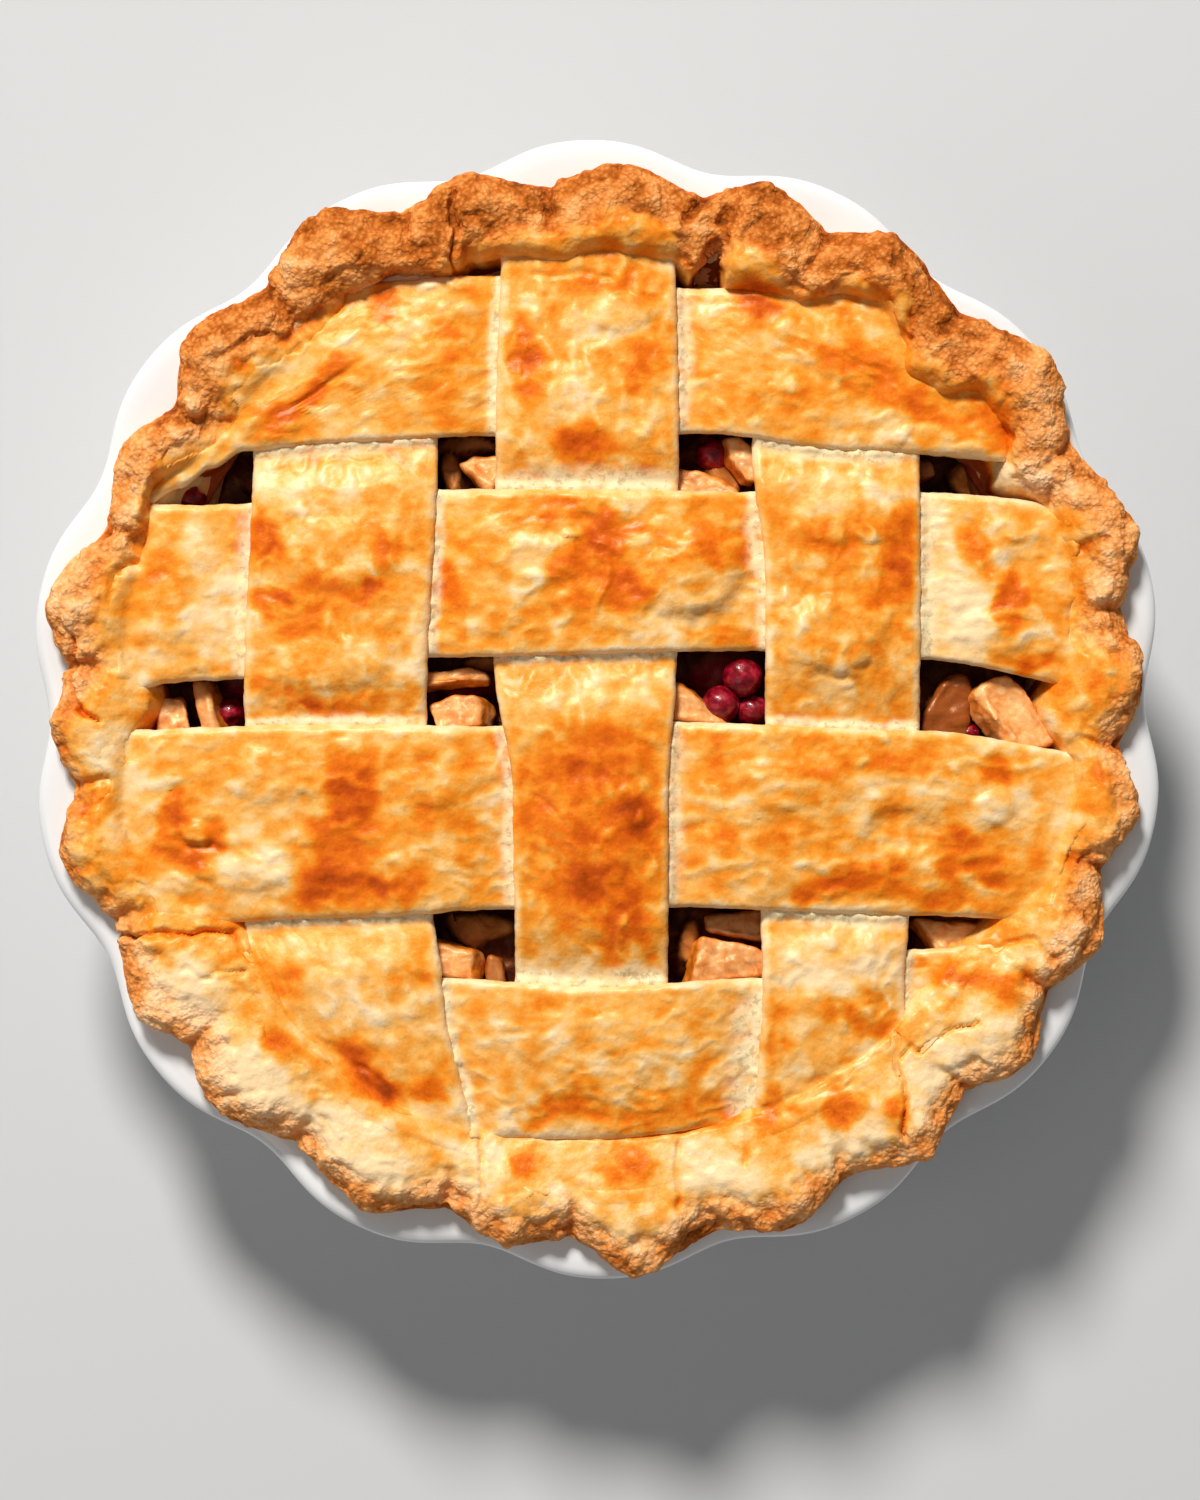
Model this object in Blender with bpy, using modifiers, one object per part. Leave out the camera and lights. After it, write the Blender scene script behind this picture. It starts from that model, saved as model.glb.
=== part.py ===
"""A lattice apple pie in its fluted white dish, at its real size.

Metres, +Z up. The origin is the centre of the dish's foot ring, on the surface that it stands on.
+Y is the side of the pie where the crimped edge folds over thickest.

The dish is turned and then fluted. The pastry case lines it, fills out into a crimped edge on the
dish's lip, and holds the filling. Seven wide strips of dough are woven over the filling: four lie
across, along X, and three lie down the pie, along Y. Each one is trimmed where it meets the edge.
Apple slices and cranberries lie on the filling in the gaps of the weave.
"""

import math

import bmesh
import bpy
from mathutils import Matrix, Vector, noise

MM = 0.001

# The space left between two pieces that touch.
CLEARANCE = 0.5 * MM

# Dish: turned profile, (radius, height), from the floor's centre, over the lip, to the foot's centre.
DISH_PROFILE = (
    (0, 7.0 * MM),
    (88.0 * MM, 7.0 * MM),
    (112.5 * MM, 46.5 * MM),
    (117.0 * MM, 49.4 * MM),
    (128.8 * MM, 50.0 * MM),
    (131.0 * MM, 48.0 * MM),
    (129.4 * MM, 45.8 * MM),
    (117.5 * MM, 44.0 * MM),
    (90.0 * MM, 0),
    (84.0 * MM, 0),
    (82.0 * MM, 1.8 * MM),
    (0, 1.8 * MM),
)
# Facets round every turned piece: eight to each flute, so that the faces of nested walls stay parallel.
STEPS = 112

# The dish's flutes: broad outward lobes with tighter hollows between, deepest at the lip.
FLUTES = 14
FIRST_FLUTE = math.radians(13.9)
FLUTE_DEPTH = 2.7 * MM
FLUTE_SHARPNESS = 0.15
FLUTE_START = 8.0 * MM
FLUTE_FULL = 50.0 * MM

# Pastry case: its wall and floor line the dish. Heights from EDGE_BASE up belong to the crimped edge,
# whose radii run from EDGE_INNER to EDGE_OUTER here and are then fitted to the true edge.
EDGE_BASE = 50.4 * MM
EDGE_TOP = 60.0 * MM
EDGE_INNER = 106.0 * MM
EDGE_OUTER = 126.5 * MM
CASE_PROFILE = (
    (0, 10.9 * MM),
    (83.0 * MM, 10.9 * MM),
    (106.0 * MM, 46.5 * MM),
    (EDGE_INNER, 50.6 * MM),
    (107.0 * MM, 56.2 * MM),
    (111.5 * MM, 59.2 * MM),
    (117.0 * MM, EDGE_TOP),
    (122.5 * MM, 58.6 * MM),
    (125.8 * MM, 56.0 * MM),
    (EDGE_OUTER, 53.6 * MM),
    (122.5 * MM, 50.5 * MM),
    (115.5 * MM, 49.7 * MM),
    (111.3 * MM, 46.9 * MM),
    (87.0 * MM, 7.5 * MM),
    (0, 7.5 * MM),
)

# Crimps of the pastry edge: (angle in degrees, radius) of each outward lobe.
CRIMPS = (
    (3, 127.8 * MM),
    (19, 132.2 * MM),
    (38, 132.6 * MM),
    (57, 130.2 * MM),
    (71, 128.6 * MM),
    (87, 127.2 * MM),
    (104, 128.0 * MM),
    (120, 132.3 * MM),
    (137, 129.2 * MM),
    (151, 126.0 * MM),
    (169, 130.6 * MM),
    (182, 127.3 * MM),
    (195, 129.4 * MM),
    (213, 128.2 * MM),
    (226, 129.0 * MM),
    (245, 128.6 * MM),
    (261, 126.8 * MM),
    (274, 132.0 * MM),
    (291, 129.4 * MM),
    (306, 129.0 * MM),
    (321, 130.2 * MM),
    (335, 129.6 * MM),
    (349, 128.4 * MM),
)
CRIMP_DEPTH = 5.2 * MM
CRIMP_DIP = 1.6 * MM

# The edge's inner side: (angle in degrees, radius where the weave meets it, height of its crest).
EDGE_SECTIONS = (
    (0, 113.0 * MM, 59.6 * MM),
    (24, 117.0 * MM, 60.4 * MM),
    (38, 112.0 * MM, 61.0 * MM),
    (50, 107.0 * MM, 61.4 * MM),
    (62, 107.5 * MM, 61.8 * MM),
    (71, 103.0 * MM, 61.6 * MM),
    (79, 108.5 * MM, 60.4 * MM),
    (91, 111.5 * MM, 62.0 * MM),
    (104, 107.5 * MM, 60.6 * MM),
    (113, 107.0 * MM, 62.0 * MM),
    (126, 113.0 * MM, 61.6 * MM),
    (140, 114.0 * MM, 60.4 * MM),
    (154, 115.5 * MM, 60.0 * MM),
    (167, 113.0 * MM, 60.6 * MM),
    (181, 110.5 * MM, 59.4 * MM),
    (198, 111.5 * MM, 59.2 * MM),
    (212, 101.5 * MM, 58.6 * MM),
    (226, 102.5 * MM, 59.0 * MM),
    (243, 104.5 * MM, 58.8 * MM),
    (257, 107.5 * MM, 58.4 * MM),
    (270, 113.5 * MM, 58.8 * MM),
    (285, 105.5 * MM, 58.4 * MM),
    (299, 102.0 * MM, 58.8 * MM),
    (313, 103.5 * MM, 59.0 * MM),
    (326, 112.0 * MM, 59.4 * MM),
    (342, 114.0 * MM, 59.6 * MM),
)

# The weave lies on a low dome, the level where an upper strip rests on a lower one.
DOME_TOP = 58.0 * MM
DOME_FALL = 7.0 * MM
DOME_RADIUS = 116.0 * MM

# Lattice strips: (place along the strip, lower edge, upper edge), as the dough was cut and laid.
STRIP_THICKNESS = 4.2 * MM
STRIP_GAP = 0.6 * MM
STRIP_EDGE_DROOP = 1.1 * MM
ACROSS_STRIPS = (
    ((-105, 61, 98), (-60, 62, 99), (-25, 63.5, 101), (25, 64, 98), (60, 60, 97), (108, 57, 94)),
    ((-122, 1, 49), (-95, 6.5, 47.5), (-37, 12, 51), (37, 13.5, 50.5), (75, 11.5, 50.5), (122, 4, 47)),
    ((-122, -52, -5), (-60, -48.5, -3.5), (-20, -46.5, -4), (18, -46, -3), (75, -48, -5), (122, -50.5, -11)),
    ((-108, -88, -62), (-36, -99.5, -62.5), (0, -100, -64.5), (38, -96.5, -62.5), (72, -88, -56), (110, -80, -53)),
)
DOWN_STRIPS = (
    ((-108, -79, -28), (-62, -82, -36), (-48, -82, -38), (0, -82, -39.5), (60, -80, -37), (106, -80, -37)),
    ((-124, -21, 17), (-60, -19, 16.5), (-20, -19.5, 16.5), (12, -24, 18.5), (63, -23.5, 19), (122, -22, 18)),
    ((-108, 36, 72), (-62, 38.5, 71.5), (-48, 38, 72.5), (0, 39, 75), (30, 39, 75), (60, 36, 75), (106, 38, 76)),
)
# Where a strip's cross-section has its points, as shares of its width.
STRIP_SECTION = (0, 0.08, 0.92, 1)
# How far past its last crossing a strip takes to climb onto the case's shoulder.
END_CLIMB = 20.0 * MM
# Upright sides that trim the strips lie this far inside the edge, and reach this high.
TRIM_TOP = 75.0 * MM

# Filling: its top follows the dome this far below it, with lumps of fruit on it.
FILLING_DROP = 8.4 * MM
FILLING_LUMPS = 0.9 * MM
LUMP_SCALE = 16.0 * MM
FILLING_RADIUS = 102.6 * MM
FILLING_STEPS = STEPS // 2
FILLING_RINGS = 6
FILLING_BOTTOM = ((82.0 * MM, 11.4 * MM), (0, 11.4 * MM))

# Apple slices that show in the gaps: x, y, length, width, thickness in millimetres, turn and tilt in degrees.
APPLE_SLICES = (
    (-28.6, 55.8, 8.6, 6.0, 6.5, 10, 8),
    (25.8, 53.4, 12.6, 4.6, 6.0, 0, 5),
    (33.0, 58.2, 8.6, 4.0, 7.0, 100, 4),
    (79.6, 56.0, 6.4, 3.6, 6.5, 0, 6),
    (-98.2, 0.6, 9.4, 6.0, 7.0, 92, 6),
    (-90.6, 0.8, 9.8, 5.6, 6.5, 84, -6),
    (-31.0, 8.3, 13.0, 4.6, 7.0, 2, 6),
    (-31.2, 1.6, 13.4, 6.6, 6.0, -4, -5),
    (22.6, 1.6, 7.4, 4.6, 6.0, 80, 6),
    (81.6, 2.2, 11.6, 8.6, 6.5, 74, 8),
    (93.9, 0.8, 13.0, 7.4, 7.5, -48, 8),
    (-31.8, -57.0, 9.2, 7.2, 6.5, -10, 8),
    (-23.2, -57.4, 7.4, 5.6, 5.5, 84, 5),
    (27.4, -57.9, 16.4, 7.0, 7.0, 4, 8),
    (30.2, -50.3, 12.0, 3.6, 6.0, 4, 5),
    (83.4, -52.2, 11.2, 3.8, 6.5, 4, 5),
)
SLICE_TAPER = 0.86
SLICE_CORE_CUT = 0.12
SLICE_SIDES = 12

# Cranberries that show in the gaps: x, y, radius in millimetres.
CRANBERRIES = (
    (33.4, 6.8, 4.3),
    (28.4, -0.4, 3.2),
    (35.2, -0.2, 3.0),
    (26.4, 59.4, 2.9),
    (-88.2, 51.8, 2.8),
    (-84.6, 1.0, 2.1),
    (77.6, -3.4, 1.9),
)
BERRY_FACE_LEVEL = 2

CREAM, GOLD, BROWNED = (0.87, 0.68, 0.36), (0.82, 0.46, 0.12), (0.55, 0.24, 0.07)
WHITE, SAUCE, FLESH, CRIMSON = (0.84, 0.84, 0.83), (0.16, 0.02, 0.015), (0.72, 0.4, 0.2), (0.36, 0.01, 0.03)


def material(name, colour, roughness):
    """A Principled material, as none of the pie's finishes is metal."""
    made = bpy.data.materials.new(name)
    made.use_nodes = True
    shader = made.node_tree.nodes["Principled BSDF"]
    shader.inputs["Base Color"].default_value = (*colour, 1)
    shader.inputs["Roughness"].default_value = roughness
    return made


def smooth(t):
    """0 to 1 with level ends, for t from 0 to 1."""
    t = min(1, max(0, t))
    return t * t * (3 - 2 * t)


def mix(a, b, t):
    return a + (b - a) * t


def round_table(rows, degrees):
    """The values of an angle's table at an angle, smooth all the way round, and the share between two rows."""
    degrees %= 360
    rows = [*rows, (rows[0][0] + 360, *rows[0][1:])]
    if degrees < rows[0][0]:
        degrees += 360
    before, after = next(pair for pair in zip(rows, rows[1:]) if degrees <= pair[1][0])
    share = (degrees - before[0]) / (after[0] - before[0])
    return [mix(a, b, smooth(share)) for a, b in zip(before[1:], after[1:])], share


def edge_at(angle):
    """The pastry edge at an angle: inner radius, outer radius and crest height."""
    degrees = math.degrees(angle)
    (inner, crest), _ = round_table(EDGE_SECTIONS, degrees)
    (lobe,), share = round_table(CRIMPS, degrees)
    hollow = math.sin(math.pi * share) ** 2
    return inner, lobe - CRIMP_DEPTH * hollow, crest - CRIMP_DIP * hollow


def fluted(radius, angle, height):
    """The radius of a turned wall once the flutes are pressed into it."""
    turn = FLUTES * (angle - FIRST_FLUTE)
    wave = math.cos(turn) - FLUTE_SHARPNESS * math.cos(2 * turn)
    share = min(1, max(0, (height - FLUTE_START) / (FLUTE_FULL - FLUTE_START)))
    return radius + FLUTE_DEPTH * share**1.5 * wave


def dome(x, y):
    """Height of the weave's middle level above a point."""
    return DOME_TOP - DOME_FALL * (x * x + y * y) / DOME_RADIUS**2


def filling_top(x, y):
    lumps = noise.noise(Vector((x, y, 0)) / LUMP_SCALE)
    return dome(x, y) - FILLING_DROP + FILLING_LUMPS * lumps


def new_object(name, mesh, collection, finish=None):
    made = bpy.data.objects.new(name, mesh)
    collection.objects.link(made)
    if finish:
        made.data.materials.append(finish)
    return made


def settle(piece):
    """Bakes a piece's modifiers into its mesh."""
    bpy.context.view_layer.update()
    graph = bpy.context.evaluated_depsgraph_get()
    mesh = bpy.data.meshes.new_from_object(piece.evaluated_get(graph))
    piece.modifiers.clear()
    piece.data = mesh


def turned(name, profile, steps, collection, finish=None):
    """A closed body turned about Z from a profile that starts and ends on the axis."""
    mesh = bpy.data.meshes.new(name)
    points = [(radius, 0, height) for radius, height in profile]
    mesh.from_pydata(points, [(i, i + 1) for i in range(len(points) - 1)], [])
    piece = new_object(name, mesh, collection, finish)
    screw = piece.modifiers.new("turn", "SCREW")
    screw.steps = screw.render_steps = steps
    screw.use_merge_vertices = True
    screw.merge_threshold = 0.01 * MM
    settle(piece)
    return piece


def reshape(piece, radius_and_height):
    """Moves every point of a turned piece to the radius and height worked out from its old ones and its angle."""
    for vertex in piece.data.vertices:
        x, y, z = vertex.co
        old = math.hypot(x, y)
        if old < MM:
            continue
        radius, height = radius_and_height(old, z, math.atan2(y, x))
        vertex.co = (x / old * radius, y / old * radius, height)


def shade(piece, sharp_degrees=35):
    piece.data.shade_smooth()
    piece.data.set_sharp_from_angle(angle=math.radians(sharp_degrees))


def fluted_wall(radius, height, angle):
    return fluted(radius, angle, height), height


def make_dish(collection, finish):
    dish = turned("pie_dish", DISH_PROFILE, STEPS, collection, finish)
    reshape(dish, fluted_wall)
    shade(dish)
    return dish


def case_wall(radius, height, angle):
    """Below the edge the case follows the flutes, and above its base it takes the crimped edge's true section."""
    if height < EDGE_BASE:
        return fluted_wall(radius, height, angle)
    inner, outer, crest = edge_at(angle)
    across = (radius - EDGE_INNER) / (EDGE_OUTER - EDGE_INNER)
    up = (height - EDGE_BASE) / (EDGE_TOP - EDGE_BASE)
    return mix(inner, outer, across), mix(EDGE_BASE, crest, up)


def make_case(collection, finish):
    case = turned("pastry_case", CASE_PROFILE, STEPS, collection, finish)
    reshape(case, case_wall)
    shade(case)
    return case


def make_filling(collection, finish):
    """Fills the case up to a lumpy top. The points on its top are those above the wall's foot."""
    foot = FILLING_BOTTOM[0][1]
    rings = [FILLING_RADIUS * i / FILLING_RINGS for i in range(FILLING_RINGS + 1)]
    profile = [(radius, 2 * foot) for radius in rings]
    filling = turned("filling", [*profile, *FILLING_BOTTOM], FILLING_STEPS, collection, finish)
    for vertex in filling.data.vertices:
        if vertex.co.z > 1.5 * foot:
            vertex.co.z = filling_top(vertex.co.x, vertex.co.y)
    reshape(filling, fluted_wall)
    shade(filling)
    return filling


def make_trim(collection):
    """The space inside the case and its edge, which the strips are trimmed to."""
    wall_top, wall_foot = CASE_PROFILE[2], CASE_PROFILE[1]
    low = 40.0 * MM
    low_radius = wall_foot[0] + (low - wall_foot[1]) * (wall_top[0] - wall_foot[0]) / (wall_top[1] - wall_foot[1])
    profile = (
        (0, TRIM_TOP),
        (EDGE_INNER, TRIM_TOP),
        (EDGE_INNER, EDGE_BASE + 2 * CLEARANCE),
        (wall_top[0] - 2 * CLEARANCE, wall_top[1] + CLEARANCE),
        (low_radius - 2 * CLEARANCE, low),
        (0, low),
    )

    def trim_wall(radius, height, angle):
        inside_edge = edge_at(angle)[0] - CLEARANCE
        if height < EDGE_BASE:
            return min(fluted(radius, angle, height), inside_edge), height
        return inside_edge, height

    trim = turned("lattice_trim", profile, STEPS, collection)
    reshape(trim, trim_wall)
    trim.hide_render = True
    trim.display_type = "WIRE"
    return trim


def edges_at(stations, along):
    """A strip's two edges at a place along it, smooth between the stations where they were set."""
    before, after = next(
        (pair for pair in zip(stations, stations[1:]) if along / MM <= pair[1][0]),
        (stations[-2], stations[-1]),
    )
    share = smooth((along / MM - before[0]) / (after[0] - before[0]))
    return tuple(mix(a, b, share) * MM for a, b in zip(before[1:], after[1:]))


def crossings(strip, others, first_is_over):
    """Each place where other strips cross one: (start, end, level), level 1 where the strip lies over."""
    found = []
    for i, other in enumerate(others):
        middle = (other[0][1] + other[-1][2]) / 2 * MM
        low, high = edges_at(strip, middle)
        reach = [edges_at(other, mix(low, high, t / 4)) for t in range(5)]
        start = min(edge[0] for edge in reach) - CLEARANCE
        end = max(edge[1] for edge in reach) + CLEARANCE
        over = first_is_over == (i % 2 == 0)
        found.append((start, end, 1 if over else -1))
    return sorted(found)


def level_at(places, along):
    """How far a strip is from under, -1, to over, 1. At its ends it climbs onto the case's shoulder."""
    first, last = places[0], places[-1]
    spans = [
        (-math.inf, first[0] - END_CLIMB, 1),
        *places,
        (last[1] + END_CLIMB, math.inf, 1),
    ]
    for before, after in zip(spans, spans[1:]):
        if along <= before[1]:
            return before[2]
        if along < after[0]:
            return mix(before[2], after[2], smooth((along - before[1]) / (after[0] - before[1])))
    return spans[-1][2]


def strip_stations(strip, places):
    """Where a strip's cross-sections stand: at each crossing's edges and middle, and three between."""
    marks = [strip[0][0] * MM]
    for start, end, _ in places:
        marks += [mix(marks[-1], start, t / 4) for t in (1, 2, 3)]
        marks += [start, (start + end) / 2, end]
    stop = strip[-1][0] * MM
    return [*marks, *(mix(marks[-1], stop, t / 4) for t in (1, 2, 3, 4))]


def make_strip(name, strip, others, first_is_over, lies_across, trim, collection, finish):
    """A grid laid along the strip, bent over and under the strips that cross it, thickened and trimmed."""
    places = crossings(strip, others, first_is_over)
    stations = strip_stations(strip, places)
    rows, columns = len(stations), len(STRIP_SECTION)
    shape = bmesh.new()
    bmesh.ops.create_grid(shape, x_segments=rows - 1, y_segments=columns - 1, size=0.5)
    for vertex in shape.verts:
        along = stations[round((vertex.co.x + 0.5) * (rows - 1))]
        column = round((vertex.co.y + 0.5) * (columns - 1))
        low, high = edges_at(strip, along)
        beside = mix(low, high, STRIP_SECTION[column])
        x, y = (along, beside) if lies_across else (beside, along)
        vertex.co = (x, y, strip_height(level_at(places, along), x, y))
    grown = bmesh.ops.extrude_face_region(shape, geom=shape.faces[:])["geom"]
    for vertex in (g for g in grown if isinstance(g, bmesh.types.BMVert)):
        vertex.co.z -= STRIP_THICKNESS
    mesh = bpy.data.meshes.new(name)
    droop_edges(shape, rows, columns)
    bmesh.ops.recalc_face_normals(shape, faces=shape.faces)
    shape.to_mesh(mesh)
    shape.free()
    piece = new_object(name, mesh, collection, finish)
    cut = piece.modifiers.new("trim", "BOOLEAN")
    cut.operation = "INTERSECT"
    cut.object = trim
    settle(piece)
    shade(piece)
    return piece


def strip_height(level, x, y):
    """Top of a strip at a point, for its level there."""
    return dome(x, y) + level * (STRIP_THICKNESS + STRIP_GAP) / 2 + STRIP_THICKNESS / 2


def droop_edges(shape, rows, columns):
    """Lowers the top's outermost points on both long sides, so that the cut edges look soft."""
    shape.verts.ensure_lookup_table()
    for vertex in shape.verts[: rows * columns]:
        if vertex.index // rows in (0, columns - 1):
            vertex.co.z -= STRIP_EDGE_DROOP


def make_strips(trim, collection, finish):
    for i, strip in enumerate(ACROSS_STRIPS):
        make_strip(f"strip_across_{i + 1}", strip, DOWN_STRIPS, i % 2 == 0, True, trim, collection, finish)
    for i, strip in enumerate(DOWN_STRIPS):
        make_strip(f"strip_down_{i + 1}", strip, ACROSS_STRIPS, i % 2 == 1, False, trim, collection, finish)


def make_apple_slice(name, x, y, length, width, thickness, turn, tilt, collection, finish):
    """A half-moon slice: a short tapered cylinder, cut straight on the side where the core was."""
    shape = bmesh.new()
    bmesh.ops.create_cone(
        shape, cap_ends=True, segments=SLICE_SIDES, radius1=1, radius2=SLICE_TAPER, depth=1
    )
    everything = [*shape.verts, *shape.edges, *shape.faces]
    bmesh.ops.bisect_plane(
        shape, geom=everything, plane_co=(0, SLICE_CORE_CUT, 0), plane_no=(0, -1, 0), clear_outer=True
    )
    bmesh.ops.holes_fill(shape, edges=shape.edges, sides=0)
    bmesh.ops.recalc_face_normals(shape, faces=shape.faces)
    depth = 1 - SLICE_CORE_CUT
    size = Vector((length / 2, width / depth, thickness)) * MM
    bmesh.ops.translate(shape, verts=shape.verts, vec=(0, -SLICE_CORE_CUT - depth / 2, 0))
    bmesh.ops.scale(shape, verts=shape.verts, vec=size)
    mesh = bpy.data.meshes.new(name)
    shape.to_mesh(mesh)
    shape.free()
    piece = new_object(name, mesh, collection, finish)
    leaning = Matrix.Rotation(math.radians(turn), 4, "Z") @ Matrix.Rotation(math.radians(tilt), 4, "X")
    lowest = min((leaning @ vertex.co).z for vertex in mesh.vertices)
    ground = max(filling_top(x * MM + dx * MM, y * MM + dy * MM) for dx in (-4, 0, 4) for dy in (-4, 0, 4))
    piece.matrix_world = Matrix.Translation((x * MM, y * MM, ground + 2 * CLEARANCE - lowest)) @ leaning
    shade(piece)


def make_cranberry(name, x, y, radius, collection, finish):
    shape = bmesh.new()
    bmesh.ops.create_icosphere(shape, subdivisions=BERRY_FACE_LEVEL, radius=radius * MM)
    mesh = bpy.data.meshes.new(name)
    shape.to_mesh(mesh)
    shape.free()
    piece = new_object(name, mesh, collection, finish)
    piece.location = (x * MM, y * MM, filling_top(x * MM, y * MM) + 2 * CLEARANCE + radius * MM)
    mesh.shade_smooth()


def main():
    for old in list(bpy.data.objects):
        bpy.data.objects.remove(old)
    pie = bpy.data.collections.new("lattice_apple_pie")
    cutters = bpy.data.collections.new("cutters")
    for collection in (pie, cutters):
        bpy.context.scene.collection.children.link(collection)
    make_dish(pie, material("glazed_ceramic", WHITE, 0.12))
    make_case(pie, material("browned_pastry", BROWNED, 0.7))
    make_filling(pie, material("fruit_sauce", SAUCE, 0.3))
    make_strips(make_trim(cutters), pie, material("glazed_pastry", GOLD, 0.4))
    flesh = material("baked_apple", FLESH, 0.35)
    for i, row in enumerate(APPLE_SLICES):
        make_apple_slice(f"apple_slice_{i + 1:02}", *row, pie, flesh)
    crimson = material("cranberry_skin", CRIMSON, 0.2)
    for i, row in enumerate(CRANBERRIES):
        make_cranberry(f"cranberry_{i + 1}", *row, pie, crimson)


main()
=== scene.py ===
# %% [markdown]
# # A lattice apple pie
# This lesson dresses a plain, dimensioned model of a pie as the baked thing. The plain model comes first and
# stays fixed: every size and place below is in its frame, in metres, with +Z up and the origin under the
# middle of the dish. +Y is the side where the crimped edge is thickest.

# %% Load the plain model
import math

import bpy
import numpy as np
from mathutils import Matrix, Vector


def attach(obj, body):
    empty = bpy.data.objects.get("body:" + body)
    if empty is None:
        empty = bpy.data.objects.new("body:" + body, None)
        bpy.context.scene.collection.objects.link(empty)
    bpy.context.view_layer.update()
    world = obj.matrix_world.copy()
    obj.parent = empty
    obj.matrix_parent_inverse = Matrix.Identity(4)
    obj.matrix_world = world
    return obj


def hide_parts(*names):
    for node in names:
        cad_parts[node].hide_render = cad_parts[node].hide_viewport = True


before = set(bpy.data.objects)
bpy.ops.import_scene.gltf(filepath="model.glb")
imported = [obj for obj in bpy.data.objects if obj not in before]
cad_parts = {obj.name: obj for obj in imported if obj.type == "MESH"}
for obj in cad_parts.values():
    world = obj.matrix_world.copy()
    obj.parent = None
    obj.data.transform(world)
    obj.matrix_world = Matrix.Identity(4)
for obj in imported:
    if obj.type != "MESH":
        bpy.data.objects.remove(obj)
bpy.ops.object.select_all(action="DESELECT")
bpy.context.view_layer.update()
MM = 0.001

# %% [markdown]
# ## Unevenness
# Nothing baked is even. The same few kinds of unevenness serve every piece: a smooth swelling and sinking,
# the same repeated at smaller and smaller sizes, and scattered grains. All are worked out from a point's
# place, so that neighbouring pieces agree where they meet and every run gives the same pie.

# %% Smooth swelling
def ease(t):
    """0 to 1 with level ends."""
    t = np.clip(t, 0, 1)
    return t * t * (3 - 2 * t)


def mix(a, b, t):
    return a + (b - a) * t


def higher_of(a, b, reach, fillet):
    """The higher of two surfaces, with a fillet where they are within a reach of each other."""
    share = np.clip(0.5 + (b - a) / reach, 0, 1)
    return mix(a, b, share) + fillet * share * (1 - share)


def places(x, y, z=0):
    return np.stack(np.broadcast_arrays(x, y, z), axis=-1).astype(float)


DRAWN = np.random.default_rng(14).random((8192, 4)).astype(np.float32)


def dice(cells, seed):
    """Four repeatable random numbers from 0 to 1 for each whole-numbered cell."""
    n = cells[..., 0] * 73856093 ^ cells[..., 1] * 19349663 ^ cells[..., 2] * 83492791 ^ seed * 2654435
    return DRAWN[(n ^ n >> 15) & 8191]


def swell(points, size, seed):
    """Smooth swellings about as far apart as the size, from -1 to 1. The size may be one for each axis."""
    at = points / size
    cell = np.floor(at).astype(np.int64)
    inside = (at - cell).astype(np.float32)
    fade = inside**3 * (inside * (inside * 6 - 15) + 10)
    flat = not np.any(points[..., 2])
    total = np.zeros(points.shape[:-1], np.float32)
    for corner in np.ndindex(2, 2, 1 if flat else 2):
        pull = dice(cell + corner, seed)[..., :3] * 2 - 1
        share = np.prod(np.where(corner, fade, 1 - fade), axis=-1)
        total += share * np.sum(pull * (inside - np.array(corner, np.float32)), axis=-1)
    return np.clip(total * 1.5, -1, 1)


def rough(points, size, seed, layers=3, rest=0.5):
    """Swellings with smaller ones on them."""
    size = np.asarray(size, float)
    heights = [swell(points, size / 2**k, seed + 11 * k) * rest**k for k in range(layers)]
    return sum(heights) / sum(rest**k for k in range(layers))


# %% Scattered grains
def grains(points, size, seed):
    """For scattered grains: closeness to a grain's middle, 1 to 0, and a random number for that grain."""
    at = points / size
    cell = np.floor(at).astype(np.int64)
    nearest = np.full(points.shape[:-1], 9.0)
    own = np.zeros(points.shape[:-1])
    for step in np.ndindex(3, 3, 3):
        there = cell + np.array(step) - 1
        drawn = dice(there, seed)
        gap = np.sum((at - there - drawn[..., :3]) ** 2, axis=-1)
        closer = gap < nearest
        nearest = np.where(closer, gap, nearest)
        own = np.where(closer, drawn[..., 3], own)
    return np.clip(1 - np.sqrt(nearest), 0, 1), own


# %% [markdown]
# ## Lines and patches, listed one by one
# Some marks are this pie's own: a crease where the edge folds over, a bubble under the dough, a place that
# caught the heat. Each is a row of a table: a line or an oval in millimetres on the plan of the pie, and how
# strong it is. Such tables could be painted on instead, but numbers are easy to change and keep with the pie.

# %% Lines
def near_line(x, y, line, width):
    """1 on a line of points given in millimetres, and 0 a width away."""
    best = np.full(np.shape(x), 9.0)
    for (ax, ay), (bx, by) in zip(line, line[1:]):
        ax, ay, bx, by = ax * MM, ay * MM, bx * MM, by * MM
        run = (bx - ax) ** 2 + (by - ay) ** 2
        t = np.clip(((x - ax) * (bx - ax) + (y - ay) * (by - ay)) / run, 0, 1)
        best = np.minimum(best, np.hypot(x - mix(ax, bx, t), y - mix(ay, by, t)))
    return ease(1 - best / (width * MM))


def all_lines(x, y, table):
    """Adds up a table of lines, each with its width and strength."""
    return sum(strength * near_line(x, y, line, width) for line, width, strength in table)


def wander(x, y, size, reach, seed):
    """Places pushed about a little, so that listed marks don't come out straight or round."""
    at = places(x, y)
    return [k + rough(at, size * MM, seed + n) * reach * MM for n, k in enumerate((x, y))]


# %% Ovals
def in_oval(x, y, oval):
    """How far inside an oval a point is, 1 at its middle. An oval is x, y, length, width, turn in degrees."""
    cx, cy, length, width, turn = oval
    c, s = math.cos(math.radians(turn)), math.sin(math.radians(turn))
    dx, dy = x / MM - cx, y / MM - cy
    return np.clip(1 - ((dx * c + dy * s) / length * 2) ** 2 - ((dy * c - dx * s) / width * 2) ** 2, 0, 1)


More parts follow.
